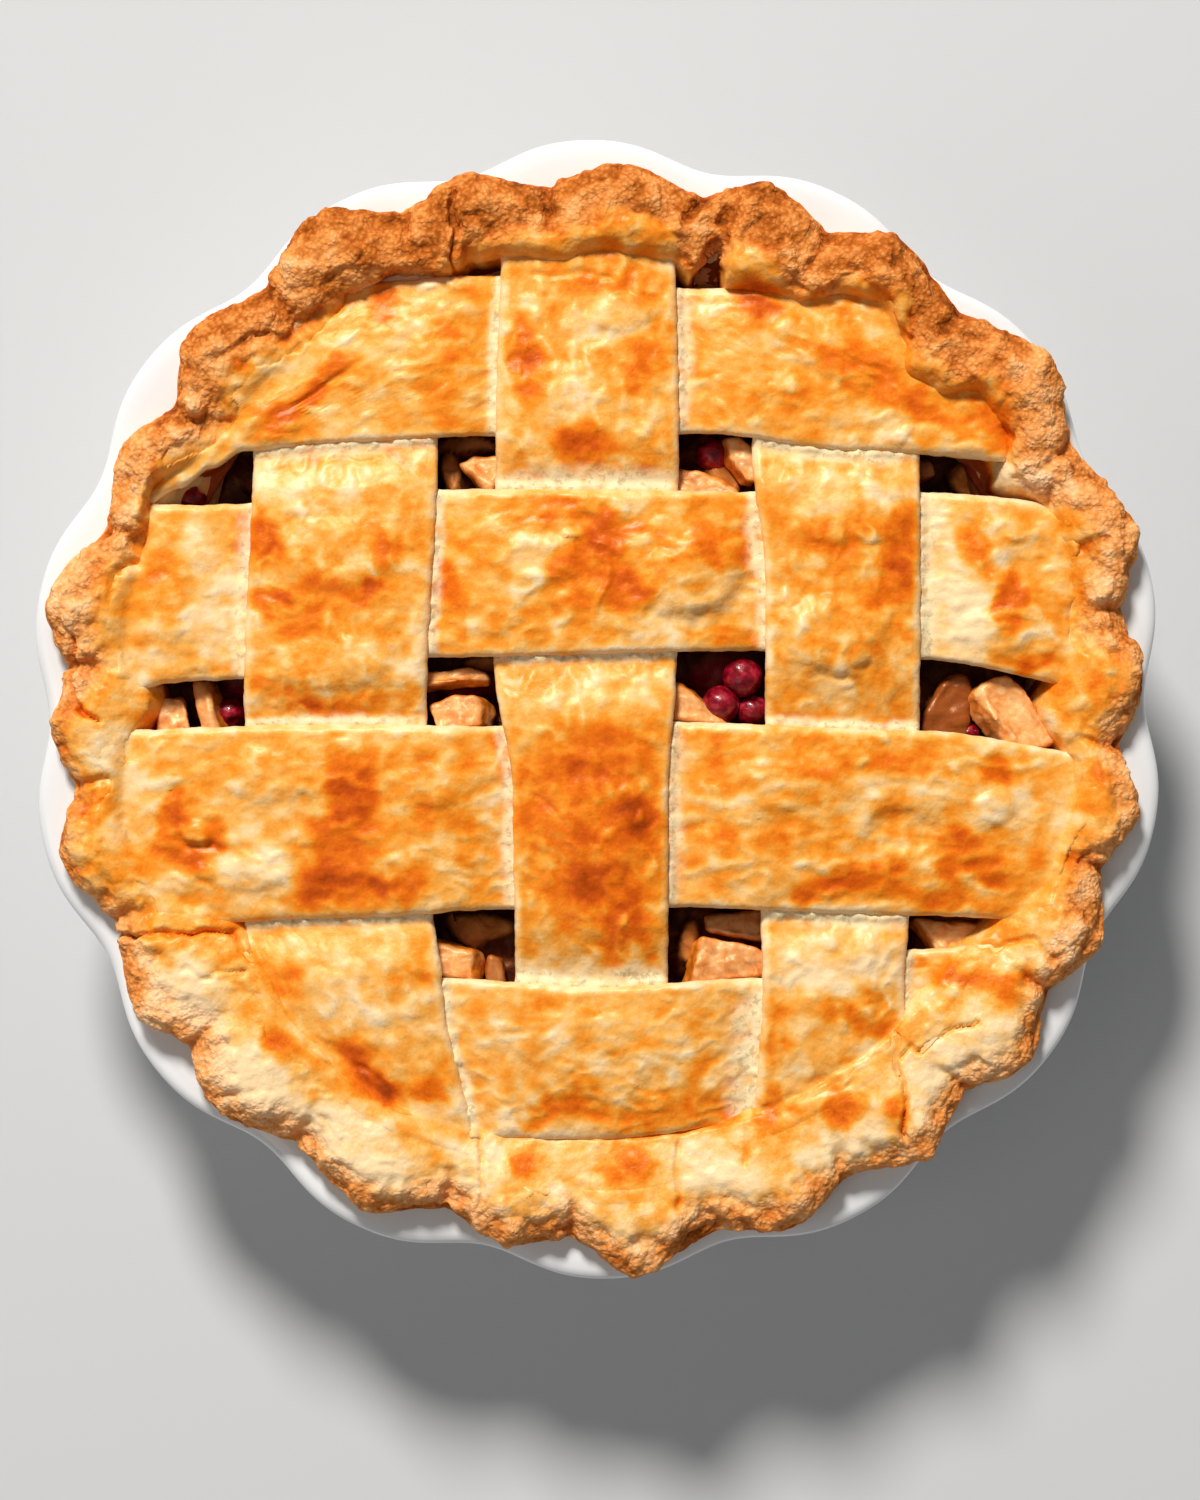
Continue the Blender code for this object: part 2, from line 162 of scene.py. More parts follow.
def all_ovals(x, y, table, firmness=1.0, wider=0):
    """Adds up a table of ovals, each with its strength. A firm one keeps its strength nearer to its outline."""
    total = np.zeros(np.shape(x))
    for cx, cy, length, width, turn, strength in table:
        oval = cx, cy, length + wider, width + wider, turn
        total = total + strength * ease(in_oval(x, y, oval) * firmness)
    return total


# %% [markdown]
# ## The shapes that pieces share
# The dish's flutes also shape the pastry inside it, and the low dome of the filling carries the whole
# lattice. Such shapes are functions of place, used by every piece that follows them.

# %% Flutes and dome
FLUTES, FIRST_FLUTE, FLUTE_DEPTH = 14, math.radians(13.9), 2.7 * MM
FLUTE_FOOT, FLUTE_TALL = 8 * MM, 42 * MM
DOME_TOP, DOME_FALL, DOME_RADIUS = 58.0 * MM, 7.0 * MM, 116.0 * MM


def fluted(radius, angle, height):
    """The radius of a turned wall once the flutes are pressed into it, deepest at the lip."""
    turn = FLUTES * (angle - FIRST_FLUTE)
    wave = np.cos(turn) - 0.15 * np.cos(2 * turn)
    return radius + FLUTE_DEPTH * np.clip((height - FLUTE_FOOT) / FLUTE_TALL, 0, 1) ** 1.5 * wave


def dome(x, y):
    return DOME_TOP - DOME_FALL * (x * x + y * y) / DOME_RADIUS**2


def around(table, angle):
    """A table's values at other angles, smooth all the way round, and the share of the way to its next row."""
    rows = np.array(table, float)
    rows = np.vstack([rows, rows[0] + np.array([360] + [0] * (rows.shape[1] - 1))])
    at = (np.degrees(angle) - rows[0, 0]) % 360 + rows[0, 0]
    i = np.clip(np.searchsorted(rows[:, 0], at, side="right") - 1, 0, len(rows) - 2)
    share = (at - rows[i, 0]) / (rows[i + 1, 0] - rows[i, 0])
    return [mix(rows[i, k], rows[i + 1, k], ease(share)) for k in range(1, rows.shape[1])], share


# %% [markdown]
# ## Making pieces
# Each new piece starts as one of Blender's primitives, or as a turned section, with enough faces for its
# detail. Its points are then moved as a sculptor's brush would move them, but by a function of their place. A
# piece rides on the model's one body and stands in for the plain nodes it shows.

# %% Points of a piece
def points_of(piece, kind="co"):
    """The places of a piece's points, or for the kind "normal" the ways they face."""
    flat = np.empty(len(piece.data.vertices) * 3)
    piece.data.vertices.foreach_get(kind, flat)
    return flat.reshape(-1, 3)


def move_points(piece, points):
    piece.data.vertices.foreach_set("co", np.ascontiguousarray(points, dtype=float).ravel())
    piece.data.update()


def polar(points):
    """How far each point is from the middle of the pie, and at what angle."""
    return np.hypot(points[:, 0], points[:, 1]), np.arctan2(points[:, 1], points[:, 0])


def move_round(piece, radius, angle, height):
    move_points(piece, np.stack([radius * np.cos(angle), radius * np.sin(angle), height], axis=-1))


def keep_value(piece, name, values):
    """Stores a number for each point, for the piece's material to read."""
    kept = piece.data.attributes.new(name, "FLOAT", "POINT")
    kept.data.foreach_set("value", np.ascontiguousarray(values, dtype=np.float32).ravel())


# %% Start and finish a piece
def start_fresh():
    """Lets go of everything, because an operator acts on all that is selected."""
    if bpy.context.object and bpy.context.object.mode != "OBJECT":
        bpy.ops.object.mode_set(mode="OBJECT")
    bpy.ops.object.select_all(action="DESELECT")


def face_outwards(merge=0):
    """In edit mode: merges points closer than a distance, then turns every face outwards."""
    bpy.ops.mesh.select_all(action="SELECT")
    if merge:
        bpy.ops.mesh.remove_doubles(threshold=merge)
    bpy.ops.mesh.normals_make_consistent(inside=False)


def finish_piece(piece, name, slot, *nodes):
    """Names a piece, fixes its place in its mesh, and hands it to the frame."""
    piece.name = name
    piece.data.name = name
    bpy.ops.object.select_all(action="DESELECT")
    piece.select_set(True)
    bpy.context.view_layer.objects.active = piece
    bpy.ops.object.transform_apply(location=True, rotation=True, scale=True)
    piece.data.shade_smooth()
    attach(piece, "root")
    if nodes:
        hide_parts(*nodes)
    piece.select_set(False)
    print(name, "faces:", len(piece.data.polygons))
    return piece


# %% [markdown]
# ## The dish
# A white glazed pie dish is pressed or cast with soft flutes that are deepest at its lip. Turning a profile
# gives the bowl, and moving each point out or in by the flutes' wave gives the rest. A ring of many steps
# keeps the lip's outline smooth. The profile runs round the whole section, so the dish is one closed body
# with a real lip, foot ring and underside.

# %% Turn a section
DISH_SECTION = (
    (0, 7.0), (60, 7.0), (82, 7.0), (86.4, 7.7), (89.4, 10.4), (96, 20.2), (104, 33.0), (110.4, 43.2),
    (112.6, 46.4), (114.8, 48.4), (118, 49.5), (122, 49.9), (126, 50.0), (128.6, 49.95), (130.1, 49.5),
    (130.9, 48.7), (131.0, 47.9), (130.5, 47.1), (129.2, 46.4), (126, 45.9), (121.5, 45.3), (118.4, 44.1),
    (116.2, 41.6), (110, 31.4), (101, 17.2), (93.4, 5.6), (91.6, 2.4), (90.6, 0.8), (89.4, 0.1), (87.6, 0.0),
    (85.2, 0.0), (83.8, 0.4), (82.6, 1.5), (80, 1.8), (40, 1.8), (0, 1.8),
)
DISH_STEPS = 448


def turned_piece(section, steps):
    """Spins a section in millimetres about Z into a closed body whose faces point outwards."""
    start_fresh()
    mesh = bpy.data.meshes.new("section")
    pairs = [(i, i + 1) for i in range(len(section) - 1)]
    mesh.from_pydata([(r * MM, 0, z * MM) for r, z in section], pairs, [])
    piece = bpy.data.objects.new("section", mesh)
    bpy.context.collection.objects.link(piece)
    bpy.context.view_layer.objects.active = piece
    piece.select_set(True)
    bpy.ops.object.mode_set(mode="EDIT")
    bpy.ops.mesh.select_all(action="SELECT")
    bpy.ops.mesh.spin(steps=steps, angle=math.tau, center=(0, 0, 0), axis=(0, 0, 1))
    face_outwards(merge=0.01 * MM)
    bpy.ops.object.mode_set(mode="OBJECT")
    return piece


# %% Press its flutes
LIP_WAVE = 0.25 * MM


def press_flutes(piece, innermost=MM):
    """Presses the flutes into a turned piece. Returns how far out each point then is, and at what angle."""
    p = points_of(piece)
    radius, angle = polar(p)
    radius = np.where(radius > innermost, fluted(radius, angle, p[:, 2]), radius)
    move_round(piece, radius, angle, p[:, 2])
    return radius, angle


dish = turned_piece(DISH_SECTION, DISH_STEPS)
radius, angle = press_flutes(dish)
p = points_of(dish)
lip = ease((radius - 112 * MM) / (8 * MM)) * ease((p[:, 2] - 42 * MM) / (4 * MM))
p[:, 2] += lip * LIP_WAVE * np.cos(FLUTES * (angle - FIRST_FLUTE))
move_points(dish, p)
finish_piece(dish, "fluted_dish", "glazed_ceramic", "pie_dish")

# %% [markdown]
# ## The crimped edge, as measurements
# The bottom crust's overhang was folded up over the ends of the strips and pinched by hand, lobe by lobe. Two
# tables hold what the hand did: how far out each lobe reaches, and, round the pie, where the fold ends on the
# strips, how high its crest is, and how steeply it stands up from them. A large steepness gives a rope of
# dough that overhangs the lattice, and a small one a gentle slope that the strips run into. A third table
# says where the edge's outer part, which crumbles as it bakes, is a wider band and where a narrower one.

# %% The edge's tables
# Angle and radius of each lobe's tip. The hollows lie halfway between.
CRIMPS = (
    (3, 127.8), (19, 132.2), (38, 132.6), (57, 130.2), (71, 128.6), (87, 127.2), (104, 128.0), (120, 132.3),
    (137, 129.2), (151, 126.0), (169, 130.6), (182, 127.3), (195, 129.4), (213, 128.2), (226, 129.0),
    (245, 128.6), (261, 126.8), (274, 132.0), (291, 129.4), (306, 129.0), (321, 130.2), (335, 129.6),
    (349, 128.4),
)
# Angle, radius where the fold ends, crest height, steepness, how far in from the outline the crest lies, and
# how much higher the fold's end lies where it laps over a strip.
FOLD = (
    (0, 105, 59.2, 1.5, 9, 0), (8, 111, 59.8, 1.8, 8, 1.1), (15, 114, 60.3, 1.9, 8, 1.0),
    (24, 115, 60.4, 2.2, 8, 0), (29, 109, 60.6, 2.2, 8, 0), (34, 114.5, 60.8, 2.6, 8, 0),
    (39, 115, 61.2, 3.2, 9, 1), (43, 108.5, 61.6, 4.0, 11, 2), (47, 106.5, 61.6, 4.0, 11, 2),
    (51, 111, 61.2, 3.0, 10, 1), (55, 114.5, 61.2, 2.6, 9, 0), (59, 112.5, 61.6, 3.2, 10, 1),
    (64, 106, 61.8, 4.0, 12, 2), (73, 103, 61.8, 4.2, 13, 2), (75.5, 111, 59.4, 3.4, 9, 0),
    (77.8, 104, 60.6, 3.6, 11, 2), (80.5, 106, 61.2, 3.2, 11, 1.5), (84, 105.5, 61.4, 3.8, 11, 1.2),
    (89, 106.5, 61.6, 3.8, 12, 1), (95, 104.5, 61.6, 3.8, 12, 0.8), (100, 106.5, 61.4, 3.7, 11, 0.8),
    (103, 108, 61.0, 3.4, 10, 0.8), (105.5, 109, 60.0, 3.0, 9, 0), (108, 106.5, 62.0, 4.0, 12, 2),
    (116, 112, 62.0, 4.0, 11, 2), (121, 112, 61.6, 3.2, 10, 1), (127, 107, 61.0, 1.9, 9, 0),
    (138, 106, 60.4, 1.6, 9, 0), (147, 108.5, 60.2, 1.7, 8, 0), (154, 115, 60.2, 2.2, 8, 0),
    (159, 112, 60.4, 1.8, 8, 0), (165, 110, 60.6, 1.7, 8, 0.8), (173, 110, 60.0, 1.8, 8, 1.0),
    (179, 104.5, 59.4, 1.5, 8, 0), (185, 110, 59.6, 1.8, 8, 1.3), (194, 112.5, 59.7, 1.7, 8, 1.3),
    (203, 108, 59.6, 1.7, 9, 1.1), (211, 98, 59.6, 1.6, 9, 0.6), (218, 98.5, 60.2, 1.6, 9, 2),
    (226, 101, 60.6, 1.6, 10, 2.5), (243, 103.5, 60.6, 1.6, 10, 2.5), (250, 102.5, 60.0, 1.6, 9, 1),
    (256, 101.5, 59.6, 1.6, 9, 0), (270, 100, 59.6, 1.6, 9, 0), (284, 101, 59.6, 1.6, 9, 0),
    (292, 101.5, 60.0, 1.6, 9, 1.5), (299, 101.5, 60.4, 1.6, 9, 2.5), (313, 102, 60.4, 1.6, 9, 2.2),
    (325, 101.5, 60.0, 1.6, 8, 0.8), (332, 106, 59.8, 1.8, 8, 0), (340, 111.5, 59.9, 1.7, 8, 1.2),
    (352, 112, 59.8, 1.8, 8, 1.2),
)
# x, y, length, width and turn of an oval, and how much wider the crumb is there in millimetres.
CRUMB_WIDTHS = (
    (0, 108, 190, 54, 0, 10), (25, 106, 14, 16, 0, 4), (-2, 110, 46, 18, 0, -4), (13, 109, 16, 16, 0, -4),
    (-78, 86, 84, 40, 42, 7), (0, -128, 200, 60, 0, 2), (-98, -78, 80, 50, -50, 3), (112, 42, 50, 84, -20, 4),
    (99, 66, 54, 34, -52, 7), (80, 85, 26, 26, 0, 8), (116, -52, 30, 40, 0, 5), (-118, 29, 40, 58, 0, 3.5),
    (-112, 62, 30, 30, 0, 3), (-114, -15, 30, 36, 0, -3),
)

# %% The edge's surface
CRIMP_DEPTH, CRIMP_DIP, CRIMP_SHIFT = 5.2 * MM, 1.6 * MM, 1.5 * MM
FOLD_RISE = 2.6 * MM
# Where no rope stands, the dough slopes down from the edge into the case. At one corner it lies further out:
# angle and spread in degrees, and how far.
SLOPE_LOW, SLOPE_HIGH, SLOPE_START, SLOPE_RUN = 44.5 * MM, 57 * MM, 105 * MM, 15 * MM
CORNER_ANGLE, CORNER_SPREAD, CORNER_REACH = 154.5, 14, 8 * MM


def edge_at(angle):
    """At an angle: the fold's end, outline, crest height, steepness, crest radius, height of the fold's end."""
    (inner, crest, steep, back, lap), _ = around(FOLD, angle)
    (lobe,), share = around(CRIMPS, angle)
    hollow = np.sin(np.pi * share) ** 2
    outer = lobe * MM - CRIMP_DEPTH * hollow
    crest = crest * MM - CRIMP_DIP * hollow
    inner = inner * MM
    start = dome(inner, 0) + FOLD_RISE + lap * MM
    return inner, outer, crest, steep, outer - back * MM + CRIMP_SHIFT * hollow, start


def edge_top(radius, angle):
    """Height of the edge's smooth upper face, before its crumb."""
    inner, _, crest, steep, middle, start = edge_at(angle)
    rope = crest - (crest - start) * np.clip((middle - radius) / (middle - inner), 0, 2.2) ** steep
    rope = rope - np.clip(inner - radius, 0, 9 * MM) * 1.4
    corner = CORNER_REACH * np.exp(-((np.degrees(angle) % 360 - CORNER_ANGLE) ** 2) / CORNER_SPREAD)
    slope = mix(SLOPE_LOW, SLOPE_HIGH, np.clip((radius - SLOPE_START - corner) / SLOPE_RUN, 0, 1))
    return np.where(radius < middle, higher_of(slope, rope, 4 * MM, MM), crest)


def crumb_at(x, y, narrower=0.0, soft=7.0):
    """Where the edge has broken into crumb: 0 on the smooth slope and 1 towards the outline."""
    p, radius = places(x, y), np.hypot(x, y)
    wide = 12.0 + 5.0 * rough(p, 14 * MM, 41) + 3.0 * rough(p, 4 * MM, 40, 3, 0.7)
    wide = (wide + all_ovals(x, y, CRUMB_WIDTHS, 1.5) - narrower) * MM
    return ease((radius - edge_at(np.arctan2(y, x))[1] + wide) / (soft * MM))


# %% [markdown]
# ## The weave, as measurements
# Each strip is a table of stations: a place along it, and its two edges there. Strips that cross push each
# other a strip's half thickness down or up, and between crossings a strip climbs from one level to the next.

# %% The weave's tables
THICK, WEAVE, END_CLIMB, TUCK = 4.2 * MM, 1.95 * MM, 20.0 * MM, 6.0 * MM
# From the top of the pie down, each from left to right.
ACROSS = (
    (
        (-106, 47, 98), (-97, 51.5, 98), (-90, 56, 98), (-82, 60, 98), (-60, 62, 99), (-25, 63.5, 101),
        (25, 64, 98), (60, 60, 97), (108, 57, 94),
    ),
    ((-122, 1, 49), (-95, 6.5, 47.5), (-37, 12, 51), (37, 13.5, 50.5), (75, 11.5, 50.5), (122, 4, 47)),
    ((-122, -52, -5), (-60, -48.5, -3.5), (-20, -46.5, -4), (18, -46, -3), (75, -48, -5), (122, -50.5, -11)),
    (
        (-108, -88, -62), (-36, -99.5, -62.5), (0, -100, -64.5), (38, -96.5, -62.5), (72, -88, -56),
        (110, -80, -53),
    ),
)
# From the left of the pie to the right, each from the bottom up.
DOWN = (
    ((-108, -79, -28), (-62, -82, -36), (-48, -82, -38), (0, -82, -39.5), (60, -80, -37), (106, -80, -37)),
    ((-124, -21, 17), (-60, -19, 16.5), (-20, -19.5, 16.5), (12, -24, 18.5), (63, -23.5, 19), (122, -22, 18)),
    (
        (-108, 36, 72), (-62, 38.5, 71.5), (-48, 38, 72.5), (0, 39, 75), (30, 39, 75), (60, 36, 75),
        (106, 38, 76),
    ),
)


def edges_at(strip, along):
    """A strip's two edges at places along it."""
    at, low, high = np.array(strip, float).T * MM
    i = np.clip(np.searchsorted(at, along) - 1, 0, len(at) - 2)
    share = ease((along - at[i]) / (at[i + 1] - at[i]))
    return mix(low[i], low[i + 1], share), mix(high[i], high[i + 1], share)


def weave(i, lies_across, along, beside):
    """A strip's level, -1 under to 1 over, and how far outside each strip that crosses over it a point is."""
    others = DOWN if lies_across else ACROSS
    levels = [1 if lies_across == ((i + k) % 2 == 0) else -1 for k in range(len(others))]
    in_order = sorted(zip(others, levels), key=lambda pair: pair[0][1][1])
    crossings = [(*edges_at(other, beside), level) for other, level in in_order]
    steps = [(None, crossings[0][0] - END_CLIMB, 1), *crossings, (crossings[-1][1] + END_CLIMB, None, 1)]
    level = np.ones(along.shape)
    for (_, end, before), (start, _, after) in zip(steps, steps[1:]):
        end, start = end - TUCK * (before < 0), start + TUCK * (after < 0)
        level = level + (after - before) * ease((along - end) / (start - end))
    return level, [np.maximum(low - along, along - high) for low, high, over in crossings if over < 0]


# %% [markdown]
# ## Where the oven caught it, and painted light
# Browning isn't even. High blisters and thin edges brown first, and so does dough over a dry, hot patch. Each
# row below is an oval that is browner, or with a minus sign paler, than the dough round it. Some pale rows are
# painted highlights where blisters catch the light, and the broad pale rows low on the pie are partly paler
# dough and partly painted light on slopes that turn away from the lamp.

# %% Toasted patches, and pale ones that hold painted light
# x, y, length, width, turn, strength.
TOAST = (
    # Top strip across, left and right of the middle strip down.
    (-65, 73.5, 28, 5, 38, 0.45), (-79, 66, 12, 10, 0, 0.15), (-50, 95, 5, 8, 0, 0.25),
    (-40, 74, 20, 14, 0, 0.12), (-72, 83, 22, 10, 50, -0.15), (-50, 84, 18, 8, 10, -0.12),
    (61, 79, 22, 8, -32, 0.35), (75, 71, 16, 5, -25, 0.4), (45, 88, 26, 8, -35, 0.2),
    (37, 95, 11, 4, -25, 0.35), (89, 67, 18, 8, -10, 0.25), (66, 66, 30, 6, 0, -0.15),
    # Second strip across.
    (4, 41, 15, 8, 0, 0.5), (-13, 45, 32, 6, 3, 0.25), (-4, 29, 13, 24, -20, 0.3), (7, 27.5, 11, 18, 20, 0.4),
    (28, 38, 10, 12, 0, 0.3), (28, 14.5, 20, 4, 0, 0.2), (-36, 29, 4, 10, 0, 0.35),
    (-14, 37, 16, 12, 10, -0.2), (18, 20, 26, 10, 15, -0.22), (30, 28, 10, 8, 0, -0.12),
    (-24, 22, 18, 10, 0, 0.06), (88, 38, 4, 14, 15, 0.45), (96, 24, 5, 15, -5, 0.4), (102, 10, 4, 4, 0, 0.4),
    (84, 22, 14, 16, 0, -0.15), (-100, 28, 12, 16, 0, 0.15),
    # Third strip across.
    (-56, -17, 11, 18, 0, 0.42), (-59, -30, 20, 14, 0, 0.38), (-60, -41, 34, 8, -5, 0.42),
    (-62, -41, 10, 5, 0, 0.2), (-98, -26, 5, 14, -5, 0.4), (-92, -33, 10, 4, 0, 0.35),
    (-88, -29, 4, 8, 0, 0.3), (-79, -38, 18, 10, 0, -0.32), (-81, -27, 12, 8, 0, -0.15),
    (-91, -37, 7, 6, 0, 0.12), (-46, -41, 14, 5, 0, 0.35), (-42, -26, 18, 5, 0, 0.18),
    (-36, -12, 18, 8, 0, 0.1), (29, -14, 18, 14, 0, 0.16), (30, -29, 6, 8, 0, 0.2), (52, -42, 16, 4, 0, 0.45),
    (66, -39, 20, 8, 0, 0.42), (64, -12, 36, 8, 0, 0.24), (94, -13, 12, 6, 0, 0.38),
    (84, -33, 14, 13, -20, 0.35), (92, -38, 8, 5, 0, 0.4), (78, -44, 14, 5, -10, 0.3),
    (92, -23, 10, 9, 0, -0.25), (65, -17, 12, 5, 10, -0.25), (76, -35.5, 14, 5, 20, -0.2),
    (48, -20, 14, 10, 0, 0.05),
    # Fourth strip across.
    (-11, -93, 11, 8, 30, 0.45), (6, -93, 32, 11, 0, 0.3), (-11, -70.5, 10, 4, 40, 0.3),
    (26, -89, 8, 18, 0, 0.22), (0, -72, 30, 6, 0, -0.12), (82, -61, 16, 4, -8, 0.28),
    (97, -64, 14, 7, -10, 0.38), (74, -68, 14, 8, 0, -0.12),
    # First strip down.
    (-77.5, 38.5, 7, 16, 12, 0.48), (-76, 25, 10, 5, -10, 0.35), (-66, 20, 16, 5, 5, 0.3),
    (-68, 26, 14, 7, 0, 0.25), (-46, 36.5, 14, 7, 10, 0.32), (-54, 27, 14, 9, 0, 0.25),
    (-69, 2, 10, 6, 0, 0.35), (-60, 0, 20, 4, 0, 0.28), (-53, 28.5, 2.5, 2.5, 0, 0.4),
    (-72, 53, 20, 12, 0, -0.3), (-50, 50, 20, 10, 0, -0.12), (-50, 9, 20, 10, 0, -0.05),
    (-54, -85, 24, 5, -38, 0.45), (-48.5, -88, 6, 5, -38, 0.3), (-39, -88, 6, 4, 0, 0.35),
    (-73, -62, 16, 8, -35, 0.22), (-56, -80, 20, 7, -38, 0.2), (-60, -64, 20, 12, 0, -0.12),
    # Second strip down.
    (-17, 81, 8, 22, 4, 0.42), (5, 99, 32, 8, -8, 0.26), (14, 80, 16, 14, 0, 0.26),
    (-2, 61.5, 14, 6, 0, 0.42), (6, 92, 20, 7, 10, -0.25), (-4, 76, 14, 14, 0, -0.08),
    (0, -26, 38, 60, 0, 0.34), (-18.8, -22, 4, 36, 0, 0.3), (-5, -14.5, 20, 6, 0, 0.18),
    (11, -25, 10, 15, 0, 0.3), (2, -41, 13, 9, 0, 0.3), (7, -50, 12, 9, -20, 0.42),
    (9, -56.5, 13, 7, 0, 0.28), (0, 2, 34, 12, 0, -0.15), (7.5, -107, 8, 14, -15, 0.32),
    (-16, -105.5, 8, 5, 0, 0.3),
    # Third strip down.
    (71, 38, 7, 28, 0, 0.42), (68, 28, 14, 10, 20, 0.38), (52, 40, 24, 9, 0, 0.25), (58, 50, 28, 8, 0, -0.25),
    (60, 14, 20, 12, 0, 0.08), (62, -71, 18, 11, -10, 0.28), (41, -77, 7, 14, 0, 0.28),
    (40, -93, 8, 6, 0, 0.38), (58, -91, 8, 6, 0, 0.42), (52, -64, 24, 10, 0, -0.2),
    # The inner slope of the edge. Its pale rows low on the pie are partly painted light.
    (-74, -77, 9, 7, -40, 0.4), (-95, -66, 28, 18, -40, -0.35), (-80, -86, 34, 17, -42, -0.45),
    (-58, -101, 32, 15, -30, -0.4), (-90, 28, 16, 54, 0, -0.26), (-107, 9, 18, 9, 10, -0.25),
    (-113, -12, 12, 26, 5, -0.2), (84, 30, 20, 58, 0, -0.30), (98, -21, 4, 30, 2, -0.32),
    (96, 53, 24, 9, -10, -0.35), (55, -57, 42, 16, 0, -0.26), (-60, -56, 44, 12, 0, -0.16),
    (-28, -108, 18, 14, 0, -0.4), (28, -107, 22, 14, 10, -0.35), (20, 108, 12, 10, 0, -0.2),
    (58, -100, 28, 15, 28, -0.35), (84, -82, 32, 17, 45, -0.4), (104, -62, 20, 14, 60, -0.15),
    (70, -93, 6, 5, 0, 0.35), (109, -20, 12, 22, 0, -0.12), (-106, -22, 14, 24, 0, -0.1),
)


def toast_at(x, y):
    """How much browner than its surroundings the dough is at a place; pale ovals are partly painted highlights
    and painted light. The ovals' outlines are let wander.
    """
    return 0.92 * all_ovals(*wander(x, y, 13, 7, 61), TOAST, wider=5)


def browning_at(p):
    """How toasted the dough is at a place, from pale at 0 to brown at 1, with painted light that pales it
    towards -Y.
    """
    broad = ease(0.5 + 0.9 * rough(p, 13 * MM, 70))
    streaks = ease(0.5 + 1.0 * rough(p, np.array([6.5, 4, 6]) * MM, 71))
    # Dough towards -Y is painted paler: painted light on the lower slopes, which turn away from the lamp.
    low = 0.07 * ease((-p[:, 1] - 45 * MM) / (30 * MM))
    toasted = 0.25 + 0.24 * broad + 0.20 * streaks - low + toast_at(p[:, 0], p[:, 1])
    return toasted - 0.3 * np.maximum(toasted - 0.62, 0)


# %% [markdown]
# ## The filling
# Under the lattice the pie is full of apple slices and cranberries in their thick red-brown juice. Only a
# little of it shows, so one lumpy body carries the rest: a turned drum that fills the case, with a top that
# is raised in soft lumps where slices lie under the juice. The pieces that do show are laid on it one by one
# afterwards.

# %% Fill the case
FILLING_DROP, JUICE_DROP, LUMP_RISE = 9.0 * MM, 2.6 * MM, 3.0 * MM
# Slices that only just rise out of the juice: x, y, length, width, turn and rise in millimetres.
SUNK_SLICES = (
    (-33.6, 54.5, 6, 10, 10, 3.0), (-30, 60.5, 16, 4, 0, 0.6), (29.5, 54.5, 12, 7, -35, 2.2),
    (90, 54, 18, 8, 0, 3.0), (-28, -51, 20, 7, 0, 1.0), (21.5, -54.5, 5, 12, -10, 2.2),
    (-26, 10.5, 12, 4, 0, 1.2), (-98, 52, 9, 8, 0, 1.2), (84, 0, 8, 10, 60, 1.6), (84, -50, 20, 5, 0, 1.5),
)
# Places where the berries have reddened the juice: x, y, length, width, turn.
RED_JUICE = (
    (-97, 49, 16, 9, 0), (-86, 0, 12, 16, 0), (-104, -1, 6, 12, 0), (31, 4, 24, 20, 0), (29, 58, 10, 8, 0),
    (87, -4, 10, 8, 0), (-30, 5, 18, 4, 0), (-29, 103, 12, 10, 0), (-31, 59, 12, 3, 0),
)
FILLING_SIDE = [(97, 31.15), (90, 21.7), (82, 10.9), (40, 11.4), (0, 11.4)]


def fruit_top(x, y):
    """Height of the filling under the lattice: lumps of fruit with juice between them."""
    at = places(x, y)
    lump, _ = grains(at, 11 * MM, 5)
    lumps = LUMP_RISE * ease(lump * 1.3) + 0.5 * MM * rough(at, 4 * MM, 8)
    return dome(x, y) - FILLING_DROP - JUICE_DROP + lumps + MM * all_ovals(x, y, SUNK_SLICES, 2.2)


filling = turned_piece([(r, 50) for r in np.linspace(0, 102.6, 128)] + FILLING_SIDE, 420)
spots = points_of(filling)
x, y = spots[:, 0], spots[:, 1]
on_top = spots[:, 2] > 49 * MM
spots[:, 2] = np.where(on_top, fruit_top(x, y), spots[:, 2])
move_points(filling, spots)
press_flutes(filling, 60 * MM)
keep_value(filling, "apple", on_top * ease(sum(in_oval(x, y, oval) for *oval, _ in SUNK_SLICES) * 2.2 - 0.2))
keep_value(filling, "crimson", on_top * ease(sum(in_oval(x, y, oval) for oval in RED_JUICE) * 1.6))
finish_piece(filling, "fruit_and_juice", "fruit_sauce", "filling")
